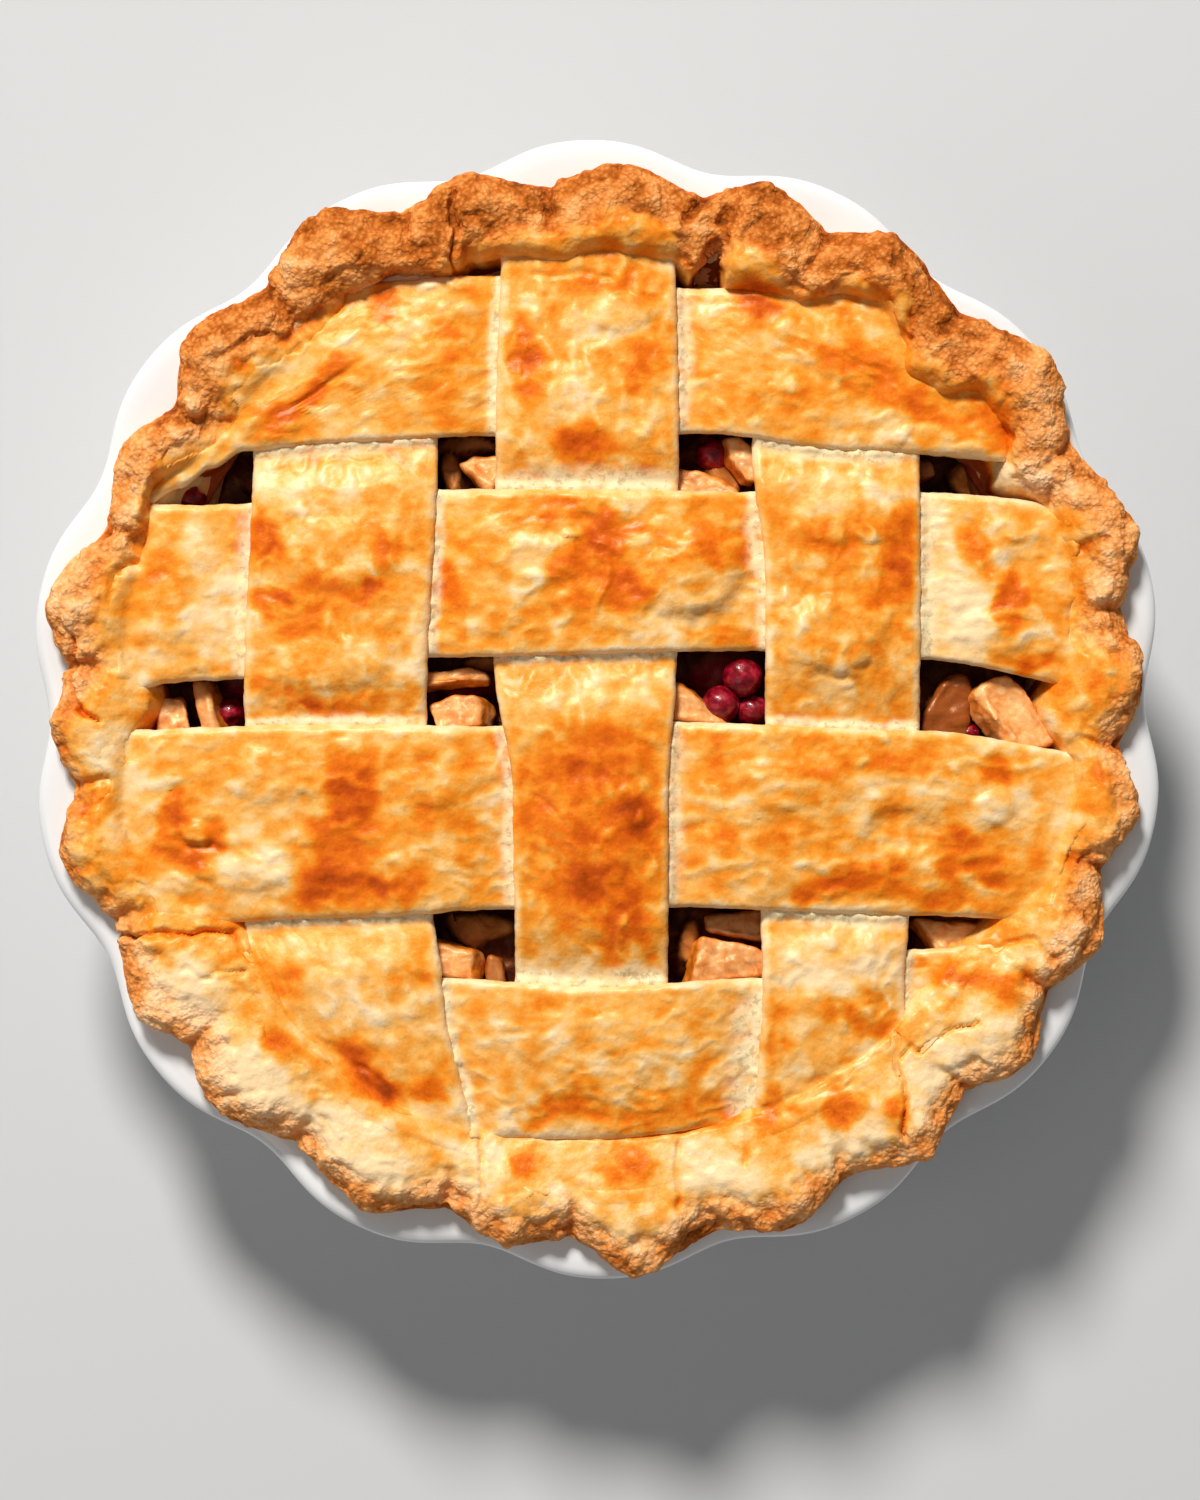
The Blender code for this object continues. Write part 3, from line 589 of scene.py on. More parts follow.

# %% [markdown]
# ## Apple slices
# A baked slice is a soft wedge: flat where it was cut, rounded at its corners and edges, and lightly furrowed
# along the flesh. Each slice that shows starts as a flat disc whose corners are moved to the slice's own
# outline and heights. It is extruded down, bevelled, and remeshed so that its faces are even. Dough that lies
# on it has pressed it down, so no point may stand higher than the lattice's underside there.

# %% The slices that show
# How far the foot of each slice is set off towards X and Y, how much painted shade darkens it towards the
# juice's colour from 0 to 1 (below 0 it is painted paler, a painted light), and then its corners from above:
# x, y, and how high the corner stands over the filling. Lengths are in millimetres.
SLICES = (
    (
        0.6, -2, 0, (-33, 57.6, 5.8), (-28.5, 59.4, 5.4), (-21, 59, 5.6), (-21, 49, 8.2), (-26, 49.5, 8.2),
        (-29.4, 54.4, 7.2),
    ),
    (0, 0, 0, (16, 56, 4.8), (23, 55.8, 5.4), (27, 54.6, 5.6), (33.5, 51, 6.6), (33, 48, 7.2), (16, 48, 7.4)),
    (
        -2, -1, 0, (29.6, 63.6, 6.0), (33.5, 64, 6.0), (38.5, 59, 7.0), (38.5, 52.5, 8.4), (35, 52.6, 8.6),
        (32, 57.5, 7.6),
    ),
    (0, 0, 0.8, (72, 59, 2.6), (78.6, 58.5, 3.6), (79.4, 54.2, 3.4), (72, 53.2, 2.4)),
    (-1, 0, 0, (-102.4, 2.6, 5.4), (-96.2, 3.2, 5.4), (-95.4, -1, 6.4), (-93.7, -8, 7.2), (-102.8, -8, 7.2)),
    (
        2.6, 0, 0.1, (-94.8, 7, 5.0), (-91.4, 7.2, 5.2), (-90, 2, 6.4), (-88, -6.5, 7.4), (-92.2, -7.5, 7.4),
        (-94.2, 0, 6.4),
    ),
    (
        0, -1.6, 0, (-42, 8.2, 5.2), (-36, 9.6, 5.8), (-30, 10, 6.0), (-25.6, 8.8, 6.0), (-24.4, 6.6, 6.8),
        (-32, 6.2, 7.4), (-42, 4.8, 6.6),
    ),
    (
        4, -1.5, 0, (-40, 1.4, 6.0), (-34, 3.2, 6.4), (-29, 3.8, 6.4), (-26.6, 2, 6.8), (-28, -4, 8.2),
        (-37, -7, 8.4),
    ),
    (1.5, 0, 0, (15.5, 7, 6.0), (20.4, 5.4, 6.6), (25, 1.4, 7.4), (31, -4.5, 8.0), (15.5, -7, 8.2)),
    (
        0, 0, 0.95, (80.2, 5.6, 4.8), (83, 8.6, 4.6), (86.6, 8.4, 4.6), (88, 4, 4.8), (86.6, -8, 4.4),
        (75, -8, 5.2), (76, -1.5, 5.6),
    ),
    (
        -3, -2.2, -0.3, (87.6, 3.2, 7.8), (89, 5.6, 7.4), (91, 7.4, 7.2), (96.6, 8.2, 7.2), (100.4, 4.2, 8.0),
        (103, -0.5, 8.4), (108, -7.5, 8.4), (100, -11, 8.4), (96.6, -8.5, 9.2), (92.4, -2.6, 9.2),
    ),
    (
        2.6, 0, 0, (-41, -53.4, 5.4), (-33, -55.2, 6.2), (-29.4, -56.3, 6.6), (-28.6, -57.6, 7.0),
        (-29, -67.5, 8.2), (-41, -67.5, 8.0),
    ),
    (0, 0, 0.6, (-25.6, -56.8, 4.6), (-22, -58, 4.6), (-20.4, -67, 4.8), (-26.6, -67, 5.0)),
    (
        -1.6, -1.6, 0, (24, -52.4, 6.4), (32, -53.6, 6.8), (42, -57.4, 7.2), (42, -68, 8.2), (25, -68, 8.4),
        (19.6, -67, 7.0), (22.3, -59, 7.4),
    ),
    (0, 0, 0.4, (24.6, -48, 3.4), (42, -46.5, 3.4), (42, -55, 4.2), (32, -53.4, 5.0), (25.2, -51.8, 4.6)),
    (
        -2, -1, 0, (74, -48.6, 5.2), (84, -49.4, 5.4), (93, -50.2, 5.6), (86, -56, 7.0), (81.5, -59, 7.2),
        (79.2, -55.6, 7.0),
    ),
)
SLICE_DEPTH, SLICE_BEVEL, SLICE_FACE = 6.5 * MM, 1.3 * MM, 0.4 * MM


def underside(x, y):
    """Height of the lattice's underside, which rises quickly into the open air beside a strip."""
    roof = np.full(np.shape(x), 1.0)
    for strips, lies_across in ((ACROSS, True), (DOWN, False)):
        along, beside = (x, y) if lies_across else (y, x)
        for i, strip in enumerate(strips):
            level, _ = weave(i, lies_across, along, beside)
            low, high = edges_at(strip, along)
            clear = np.maximum(np.maximum(low - beside, beside - high) + 0.4 * MM, 0)
            roof = np.minimum(roof, dome(x, y) + level * WEAVE - THICK / 2 + clear * 1.8)
    return roof


# %% Cut and lay the apple slices
def cut_slice(foot_x, foot_y, corners):
    """A rounded wedge with these corners on top and its foot set off to one side."""
    start_fresh()
    bpy.ops.mesh.primitive_circle_add(vertices=len(corners), radius=5 * MM, fill_type="NGON")
    piece = bpy.context.object
    x, y, rise = np.array(corners).T * MM
    move_points(piece, np.stack([x, y, dome(x, y) - FILLING_DROP + rise], axis=-1))
    bpy.ops.object.mode_set(mode="EDIT")
    bpy.ops.mesh.select_all(action="SELECT")
    bpy.ops.mesh.extrude_region_move(TRANSFORM_OT_translate={"value": (foot_x * MM, foot_y * MM, -SLICE_DEPTH)})
    face_outwards()
    bpy.ops.mesh.bevel(offset=SLICE_BEVEL, segments=3, affect="EDGES")
    bpy.ops.object.mode_set(mode="OBJECT")
    even = piece.modifiers.new("even", "REMESH")
    even.mode, even.voxel_size = "VOXEL", SLICE_FACE
    bpy.ops.object.modifier_apply(modifier="even")
    return piece


def apple_slice(number, foot_x, foot_y, painted_shade, *corners):
    seed = 53 + 7 * number
    piece = cut_slice(foot_x, foot_y, corners)
    p, normal = points_of(piece), points_of(piece, "normal")
    furrow = 1 - np.abs(swell(p, np.array([6, 2.0, 2.6]) * MM, seed))
    lifted = 0.7 * swell(p, 5 * MM, seed + 2) + 0.30 * swell(p, 2.4 * MM, seed + 4) - 0.12 * furrow**4
    p = p + normal * lifted[:, None] * MM
    p[:, 2] = np.minimum(p[:, 2], underside(p[:, 0], p[:, 1]) - 0.3 * MM)
    move_points(piece, p)
    stain = rough(p, 5 * MM, seed + 5)
    # The sides and the low parts of a slice are coloured darker, towards the juice's colour: partly juice stain
    # and partly painted shade, where faces turn from the light and lie low in the gap.
    side = 1 - np.clip(normal[:, 2], 0, 1)
    keep_value(piece, "side", np.clip(ease(side * 1.4 + 0.9 * stain) + 0.5 * painted_shade, 0, 1))
    depth = (dome(p[:, 0], p[:, 1]) - FILLING_DROP - p[:, 2]) / MM
    bruised = 0.42 * ease(0.35 + 1.4 * rough(p, 4 * MM, seed + 6))
    keep_value(piece, "juice", np.clip(0.9 * ease((depth + 2.6 + 2.0 * stain) / 3.6) + painted_shade + bruised, 0, 0.95))
    return finish_piece(piece, f"apple_{number:02}", "baked_apple", f"apple_slice_{number:02}")


apples = [apple_slice(number, *row) for number, row in enumerate(SLICES, 1)]

# %% [markdown]
# ## Cranberries
# Cranberries stay round in the oven but lose their tightness: the skin wrinkles a little and dimples at the
# blossom end. A fine sphere is dimpled at one pole and wrinkled by small swellings. Each one is turned its
# own way, so that no two dimples line up.

# %% Add the cranberries
# x, y, height of the middle over the filling, radius.
BERRIES = (
    (33.8, 7.5, 4.6, 4.8), (28.8, 1.0, 4.2, 4.5), (36.4, -0.4, 2.8, 4.0), (27.2, 59.6, -0.4, 4.2),
    (-95.5, 49.2, 0.6, 4.0), (-86.2, -1.0, -0.6, 4.0), (86.8, -5.8, 1.8, 2.8),
)
DIMPLE, WRINKLE, SAG = 0.8 * MM, 0.16 * MM, 0.25 * MM


def cranberry(number, x, y, up, size):
    start_fresh()
    bpy.ops.mesh.primitive_uv_sphere_add(segments=48, ring_count=32, radius=size * MM)
    piece = bpy.context.object
    p = points_of(piece)
    seed = int(abs(x * 5 + y * 9))
    out = p / np.linalg.norm(p, axis=1, keepdims=True)
    dimple = np.exp(-((out[:, 0] ** 2 + out[:, 1] ** 2) / 0.05)) * (out[:, 2] > 0)
    wrinkle = 1 - np.abs(swell(p, 2.6 * MM, seed))
    p += out * (SAG * swell(p, 5 * MM, seed + 3) - DIMPLE * dimple - WRINKLE * wrinkle**3)[:, None]
    move_points(piece, p)
    height = float(dome(x * MM, y * MM)) - FILLING_DROP + up * MM
    turn = Matrix.Rotation(seed * 2.1, 4, "Z") @ Matrix.Rotation(math.radians(35 + seed % 40), 4, "X")
    piece.data.transform(Matrix.Translation((x * MM, y * MM, height)) @ turn @ Matrix.Rotation(seed, 4, "Z"))
    return finish_piece(piece, f"berry_{number}", "cranberry_skin", f"cranberry_{number}")


berries = [cranberry(number, *row) for number, row in enumerate(BERRIES, 1)]

# %% [markdown]
# ## The surface of baked dough
# Flaky dough rises in blisters with creases between them, drawn out along the strip where it was stretched.
# The relief below is the same for the strips and for the smooth inner slope of the edge. It could be left to
# a bump in the material, but real relief also shows at the outlines and casts its own small shadows.

# %% Bubbles and dents
# Bubbles under the dough: x, y, length, width, turn, height.
BULGES = (
    (23, 31, 28, 22, 15, 1.7), (-14, 34, 24, 16, 0, 0.9), (55, 17, 28, 22, 0, 1.6), (58, 44, 30, 14, 0, 0.8),
    (-60, 36, 34, 20, 0, 0.8), (-62, 10, 30, 16, 0, 0.7), (6, 92, 22, 9, 10, 0.8), (-4, 72, 26, 20, 0, 0.6),
    (-50, 82, 34, 22, 0, 0.8), (-76, 66, 16, 12, 0, 0.6), (-76, -16, 22, 14, 0, 0.7),
    (-80, -38, 20, 10, 0, 0.6), (-93, -29, 8, 6, 0, 1.0), (-91, -38, 6, 5, 0, 0.8),
    (-38, -18, 24, 12, 0, 0.6), (46, -18, 34, 14, 0, 0.7), (71, -28, 20, 13, 0, -1.3),
    (92, -23, 12, 11, 0, 1.0), (0, -28, 28, 30, 0, 0.6), (0, -80, 44, 24, 0, 0.8), (54, -74, 28, 26, 0, 0.6),
    (-60, -70, 30, 20, -40, 0.6), (52, 84, 34, 14, -28, 0.7), (78, 62, 30, 9, -8, 0.6),
    (-102, 22, 16, 20, 0, 0.7), (100, 34, 18, 14, 0, -0.8), (92, 18, 20, 12, 0, 0.7),
    (97, -62, 14, 10, 0, 0.6),
)
# Dents, and with a minus sign ridges: points of the line, width and depth in millimetres.
DENTS = (
    ([(-4, 43), (3, 40.5), (9, 43)], 4.0, 1.0), ([(-7, 40.4), (0, 38.8), (5, 36)], 1.2, -0.8),
    ([(2, 34.4), (2.7, 30), (-0.5, 22.7)], 1.1, -0.8), ([(13, 23), (22, 19.5), (29, 22), (34, 28)], 3.2, 0.7),
    ([(48, 9), (56, 7), (63, 10)], 1.8, 0.7),
    ([(-98, -20), (-98.5, -28), (-95, -32.5), (-89, -31)], 2.2, 1.1),
    ([(30, -30.5), (33.5, -34.5)], 0.9, 0.5), ([(-14, -20), (-7, -27)], 0.9, 0.5),
    ([(60, 81), (72, 76)], 1.5, 0.7), ([(-15, 101), (-6, 101.5), (4, 100)], 1.1, 0.7),
    ([(86.5, 43), (90, 36), (91, 32)], 1.4, 0.7), ([(-62, -78), (-54, -84), (-47, -90)], 1.6, 0.8),
    ([(36, -94), (44, -91), (52, -89), (60, -87)], 1.2, 0.6), ([(-76, 67), (-66, 73), (-56, 80)], 1.6, 0.8),
    ([(-62, 58), (-54, 57.5), (-50, 58.5)], 0.8, 0.5),
)

# %% Blisters and ripples
SLOPE_DOUGH = {"lie": (7, 5, 7), "seed": 49}


def dough_relief(p, lie, seed):
    """Height in metres that baked dough stands over smooth dough, and how much of a ridge each place is."""
    lie = np.array(lie) * MM
    drift = np.stack([rough(p, 8 * MM, seed + 1), rough(p, 8 * MM, seed + 2), np.zeros(len(p))], axis=-1)
    drifted = p + drift * 2.8 * MM
    wrinkled = ease(0.5 + 1.3 * swell(p, 15 * MM, seed + 5))
    broken = ease(0.55 + 1.2 * swell(p, 5 * MM, seed + 9))
    ridge = (1 - np.abs(swell(drifted, lie, seed + 3))) ** 4 * broken
    crease = 1 - np.abs(swell(drifted, lie * 0.7, seed + 4))
    height = 0.55 * rough(p, 19 * MM, seed) + 0.35 * swell(drifted, 6 * MM, seed + 7)
    height = height + (0.10 + 0.42 * wrinkled) * ridge - 0.18 * crease**4 + 0.07 * swell(p, 1.6 * MM, seed + 6)
    blister, own = grains(drifted, lie * 0.75, seed + 8)
    blister = ease((blister - 0.35) * 1.9) * ease((own - 0.35) * 3)
    x, y = wander(p[:, 0], p[:, 1], 7, 2.0, 81)
    height = height + 0.36 * blister + all_ovals(x, y, BULGES, 1.3) - all_lines(x, y, DENTS) * broken**0.5
    return height * MM, (0.3 + 0.7 * wrinkled) * ridge + 0.55 * blister


# %% [markdown]
# ## Laying the strips
# A strip is rolled dough cut with a wheel. A fine grid is extruded down into a slab, and every point of it is
# then placed by where it is along and across the strip: over or under its neighbours, rounded at the cut
# edges, blistered on top. Each row of the grid is as long as the strip is there, so its ends lie hidden in
# the fold.

# %% Cut a slab
FACE, SLAB_LONG, SLAB_WIDE = 0.58 * MM, 220 * MM, 38 * MM
STRIP_END = 8.0 * MM
# The middle strip down was laid over the fold at its lower end, and reaches this far.
FLAP = 117.5 * MM


def cut_slab(lies_across):
    """A fine slab, each point's share of the way along and across it, and which points are on top."""
    start_fresh()
    columns, rows = int(SLAB_LONG / FACE), int(SLAB_WIDE / FACE)
    bpy.ops.mesh.primitive_grid_add(x_subdivisions=columns, y_subdivisions=rows, size=2)
    piece = bpy.context.object
    bpy.ops.object.mode_set(mode="EDIT")
    bpy.ops.mesh.select_all(action="SELECT")
    bpy.ops.mesh.extrude_region_move(TRANSFORM_OT_translate={"value": (0, 0, 1)})
    face_outwards()
    bpy.ops.object.mode_set(mode="OBJECT")
    x, y, z = points_of(piece).T
    return piece, (1 + x) / 2, (1 + (y if lies_across else -y)) / 2, z > 0.5


def strip_reach(strip, side, lies_across, flap):
    """How far rows across a strip reach at one of its ends: a little under the fold, evened from row to row."""
    share = np.linspace(0, 1, 61)
    along = np.full(share.shape, side * 90 * MM)
    for _ in range(40):
        low, high = edges_at(strip, along)
        beside = mix(low, high, share)
        angle = np.arctan2(beside, along) if lies_across else np.arctan2(along, beside)
        limit = flap if flap and side < 0 else edge_at(angle)[0] + STRIP_END
        along = mix(along, side * np.sqrt(np.maximum(limit**2 - beside**2, (20 * MM) ** 2)), 0.25)
    for _ in range(3):
        along = np.convolve(np.pad(along, 4, mode="edge"), np.full(9, 1 / 9), "valid")
    return share, along


# %% [markdown]
# Two things happen to a strip besides the weave. Where it runs up a gentle part of the edge it lies on that
# slope and melts into it. And beside a strip that crosses over it, no brush reached: a bare, floury band is
# left, pushed up a little by the strip on top.

# %% Where a strip meets its neighbours
# Where a bare band beside a crossing is wider: x, y, length, width, turn and how much wider in millimetres.
WIDE_BANDS = (
    (-86, 28, 10, 56, 0, 1.2), (79, 30, 12, 60, 0, 1.6), (33, -82, 18, 40, 0, 5), (0, 54, 50, 12, 0, 3.2),
    (24, 86, 10, 44, 0, 1.5), (55, -52, 46, 8, 0, 1), (0, -62, 50, 12, 0, 2.2), (34, 38, 10, 22, 0, 1.5),
    (-22, -26, 8, 50, 0, 0.8), (21, -26, 8, 50, 0, 1.2), (-38, -80, 10, 40, 0, 0.8), (-60, 57, 50, 8, 0, 0.8),
    (55, 57, 40, 8, 0, 1.2),
)


def onto_edge(p, fold_end, level, from_edge, smooth_top, stays_on_top):
    """Height of a strip's top where it lies on the edge's slope. Its end and its corners sink into the edge."""
    radius, angle = polar(p)
    slope = edge_top(radius, angle)
    lying = np.maximum(higher_of(smooth_top, slope, 3 * MM, 1.5 * MM), slope + 0.25 * MM)
    in_crumb = ease((crumb_at(p[:, 0], p[:, 1]) - 0.05 + 0.3 * rough(p, 5 * MM, 56)) / 0.6)
    sunk = np.maximum(ease((radius - fold_end - 4 * MM) / (4 * MM)), 3.6 * in_crumb)
    corner = ease(1 - from_edge / (5 * MM)) * ease((radius - fold_end) / (4 * MM))
    lying = lying - 0.9 * MM * sunk - 1.2 * MM * corner
    if stays_on_top:
        return lying
    return mix(lying, np.minimum(smooth_top, slope - 1.2 * MM), ease((-level - 0.35) / 0.3))


def beside_crossings(gaps, reach, start=1.0):
    """1 right beside the strips that cross over a strip, 0 a reach away, and 0 out of sight under them."""
    return np.max([ease(start - gap / reach) * (gap > -TUCK) for gap in gaps], axis=0)


def bare_bands(p, gaps, seed):
    wide = 2.1 + 1.4 * rough(p, 7 * MM, seed + 31) + 1.0 * rough(p, 2.5 * MM, seed + 34)
    wide = np.maximum(wide + all_ovals(p[:, 0], p[:, 1], WIDE_BANDS, 1.3), 0.5) * MM
    return 0.85 * beside_crossings(gaps, wide, 1.4) * ease(0.85 + 1.1 * rough(p, 4 * MM, seed + 32))


# %% Lay the strips
CROWN, CUT_DEEP, CUT_WIDE = 0.7 * MM, 1.3 * MM, 2.1 * MM


def lay_strip(i, lies_across):
    way, strip = ("across", ACROSS[i]) if lies_across else ("down", DOWN[i])
    seed = 40 * i + (100 if lies_across else 300)
    flap = FLAP if way == "down" and i == 1 else None
    piece, along_share, across_share, top = cut_slab(lies_across)
    ends = [np.interp(across_share, *strip_reach(strip, side, lies_across, flap)) for side in (-1, 1)]
    along = mix(*ends, along_share)
    low, high = edges_at(strip, along)
    low = low + rough(places(along, 20), 5 * MM, seed + 20, 4) * 0.55 * MM
    high = high + rough(places(along, 21), 5 * MM, seed + 21, 4) * 0.55 * MM
    beside = mix(low, high, across_share)
    p = places(along, beside) if lies_across else places(beside, along)
    level, gaps = weave(i, lies_across, along, beside)
    radius, angle = polar(p)
    fold_end, _, _, steep, _, _ = edge_at(angle)
    if flap:
        fold_end = np.where(along < 0, flap - STRIP_END, fold_end)
    blended = ease((radius - fold_end + 3 * MM) / (6 * MM)) * ease((3.6 - steep) / 1.2)

    relief, ridge = dough_relief(p, (9, 4.2, 9) if lies_across else (5.2, 6.4, 9), seed)
    slope_relief, slope_ridge = dough_relief(p, **SLOPE_DOUGH)
    relief, ridge = mix(relief, slope_relief, blended), mix(ridge, slope_ridge, blended)
    from_edge = np.minimum(beside - low, high - beside)
    free = ease(from_edge / (2.4 * MM)) * (0.35 + 0.65 * ease((level + 1) / 0.7))
    rounding = CUT_DEEP * (1 - np.sqrt(1 - (1 - np.clip(from_edge / CUT_WIDE, 0, 1)) ** 2))
    middle = dome(p[:, 0], p[:, 1]) + level * WEAVE
    smooth_top = middle + THICK / 2 + CROWN * (ease(from_edge / (12 * MM)) * (0.5 + 0.5 * level) - 1)
    on_edge = onto_edge(p, fold_end, level, from_edge, smooth_top, flap)
    pushed_up = 1.5 * MM * beside_crossings(gaps, 2.4 * MM) * (0.8 + 0.6 * rough(p, 1.8 * MM, seed + 35))
    z_top = mix(smooth_top, on_edge, blended) + relief * mix(free, 0.9, blended)
    z_top = z_top - rounding * (1 - 0.5 * blended) + pushed_up
    z_low = middle - THICK / 2 + rounding * 0.5 - 1.1 * MM * ease(level)
    z_low = np.where(blended > 0, np.maximum(z_low, z_top - 1.3 * THICK), z_low)
    move_points(piece, np.column_stack([p[:, :2], np.where(top, z_top, z_low)]))

    pale_edge = ease(1 - from_edge / (2.6 * MM)) * ease(0.75 + 0.9 * rough(p, 11 * MM, seed + 33))
    # Ridge tops are painted paler: partly thinner browning, partly a painted highlight. The cut edges are paler
    # too.
    toast_and_painted_light = browning_at(p) - 0.30 * ridge - 0.30 * pale_edge
    keep_value(piece, "toast_and_painted_light", np.where(top, toast_and_painted_light, mix(0.15, toast_and_painted_light, blended)))
    keep_value(piece, "bare", np.where(top, bare_bands(p, gaps, seed), 0.3) * (1 - blended))
    keep_value(piece, "crumb", np.where(top, blended * crumb_at(p[:, 0], p[:, 1], 1.2, 9.0), 0))
    return finish_piece(piece, f"dough_{way}_{i + 1}", "glazed_pastry", f"strip_{way}_{i + 1}")


strips = [lay_strip(i, True) for i in range(len(ACROSS))] + [lay_strip(i, False) for i in range(len(DOWN))]

# %% [markdown]
# ## The crimped edge
# A fine grid rolled up into a ring is the natural start for a rope of dough: its long way goes round the pie
# and its short way round the rope. Every slice of it is fitted to the edge's own section at that angle, from
# the outer nose over the crest and down the inner slope, then back underneath, where it rests on the dish's
# lip. Its ends are then merged, so that the ring is closed both ways.

# %% Shape the edge
RINGS, ROUND = 1300, 72
NOSE_FALL, NOSE_PART, SLOPE_PART = 5.2 * MM, 0.32, 0.86
# The underside, from the case out to the nose: share of the way, share of the width and height in millimetres.
UNDERSIDE = ((0, 0, 43.6), (0.2, 0.16, 44.4), (0.5, 0.42, 50.9), (0.85, 0.93, 51.2), (1, 1, 53.2))


def section_ring(angle, share):
    """Radius and height round the edge's section, for a share of the way round it from the outer nose."""
    inner, outer, crest, _, middle, _ = edge_at(angle)
    nose = np.clip(share / NOSE_PART, 0, 1) * math.pi / 2
    run = np.clip((share - NOSE_PART) / (SLOPE_PART - NOSE_PART), 0, 1)
    back = np.clip((share - SLOPE_PART) / (1 - SLOPE_PART), 0, 1)
    lowest = np.minimum(inner - 5 * MM, 103 * MM)
    stops, widths, heights = zip(*UNDERSIDE)
    parts = [share < NOSE_PART, share < SLOPE_PART]
    over_nose, down_slope = middle + (outer - middle) * np.cos(nose), mix(middle, lowest, run)
    underneath = np.interp(back, stops, widths) * (outer - lowest) + lowest
    radius = np.select(parts, [over_nose, down_slope], underneath)
    over_nose, down_slope = crest - NOSE_FALL * (1 - np.sin(nose)), edge_top(radius, angle)
    return radius, np.select(parts, [over_nose, down_slope], np.interp(back, stops, heights) * MM)


start_fresh()
bpy.ops.mesh.primitive_grid_add(x_subdivisions=RINGS, y_subdivisions=ROUND, size=2)
edge = bpy.context.object
steps = np.round((points_of(edge)[:, :2] + 1) / 2 * (RINGS, ROUND)) % (RINGS, ROUND)
angle, share = steps[:, 0] / RINGS * math.tau, steps[:, 1] / ROUND
radius, height = section_ring(angle, share)
move_round(edge, radius, angle, height)
keep_value(edge, "share", share)
bpy.ops.object.mode_set(mode="EDIT")
face_outwards(merge=0.002 * MM)
bpy.ops.object.mode_set(mode="OBJECT")
print("edge points:", len(edge.data.vertices), "of", RINGS * ROUND)

# %% [markdown]
# The relief goes on as a second step, pushed out along the surface. Towards the outline the dough has broken
# into crumb: lumps, torn layers that end in small steps, and pebbles. The inner slope was brushed with egg
# and stays as smooth as the strips. Between two lobes a finger pinched a crease, and listed lines are folds
# and cracks.

# %% Folds and crumb
# Folds and cracks: points of the line, width and depth in millimetres.
FOLDS = (
    ([(-33, 102), (-32.8, 110), (-32.5, 119)], 1.4, 3.0), ([(29.6, 108), (29.4, 116)], 1.3, 2.2),
    ([(28, 124), (24, 117), (20, 113)], 1.8, 1.6), ([(-88, 80), (-80, 86), (-72, 85), (-64, 92)], 2.0, 1.8),
    ([(-112, 30), (-106, 34), (-100, 36)], 2.2, 1.4),
    ([(-121.5, 16), (-122.5, 6), (-120, 0), (-116, -3)], 1.0, 3.4),
    ([(-106, 73), (-97, 66), (-90, 68)], 2.0, 1.4), ([(66, 97), (69, 90), (71, 84)], 1.6, 1.0),
    ([(95, 42), (104, 38), (112, 37), (119, 40)], 2.0, 1.4),
    ([(-119, -54.5), (-110, -53), (-100, -52.5), (-90, -51.5), (-84, -52.5), (-80, -58)], 1.1, 2.6),
    ([(-96, -60), (-90, -61.5), (-82, -61)], 0.7, 1.2),
    ([(84, -54), (92, -55), (101, -53), (106, -58)], 1.3, 1.3),
    ([(68.8, -76), (69.4, -84), (71.2, -88.5), (71.8, -90), (71, -95), (72, -100)], 0.9, 3.0),
    ([(100, -8), (103, -22), (101, -34)], 1.6, 0.9), ([(-27, -100), (-26.5, -107), (-27, -115)], 1.0, 1.3),
    ([(19, -101), (18.5, -108), (19, -115)], 1.0, 1.3), ([(35, -98), (35, -106)], 0.9, 0.9),
    ([(71, -80), (73, -78), (76, -78.5), (82.5, -74), (88, -73)], 0.8, 2.0),
    ([(-76, -72), (-77, -76), (-72, -78), (-69, -81)], 1.2, 0.9),
    ([(-83, -64), (-72, -72), (-62, -81), (-50, -91), (-38, -99)], 1.3, 0.7),
    ([(104, -32), (112, -34), (118, -33)], 1.4, 1.0), ([(-33, 100.5), (-24, 100)], 1.5, 1.2),
    ([(-126, -20), (-118, -22), (-112, -20)], 1.4, 1.0),
)


def pebbles(points, size, seed):
    """Rounded grains packed against each other: 1 on their tops and 0 in the creases between them."""
    near, own = grains(points, size, seed)
    return np.sqrt(np.clip(1 - ((1 - near) / 0.78) ** 2, 0, 1)) * (0.6 + 0.4 * own)


p, normal = points_of(edge), points_of(edge, "normal")
share = np.empty(len(p), np.float32)
edge.data.attributes["share"].data.foreach_get("value", share)
edge.data.attributes.remove(edge.data.attributes["share"])
radius, angle = polar(p)
x, y, z = p.T
flat = places(x, y)
outline = edge_at(angle)[1]
crumbly = crumb_at(x, y)
pale_side = ease((-y - 20 * MM) / (60 * MM)) * (0.5 + 0.5 * ease((40 * MM - x) / (60 * MM)))
lumps, torn = rough(p, 12 * MM, 47), rough(p, 5 * MM, 53)
patchy = ease(0.62 + 0.9 * rough(p, 10 * MM, 52))
strayed = p + 1.7 * MM * np.stack([swell(p, 5 * MM, k) for k in (44, 45, 46)], axis=-1)
coarse, fine = pebbles(strayed, 5.2 * MM, 42), pebbles(strayed, 2.4 * MM, 43)

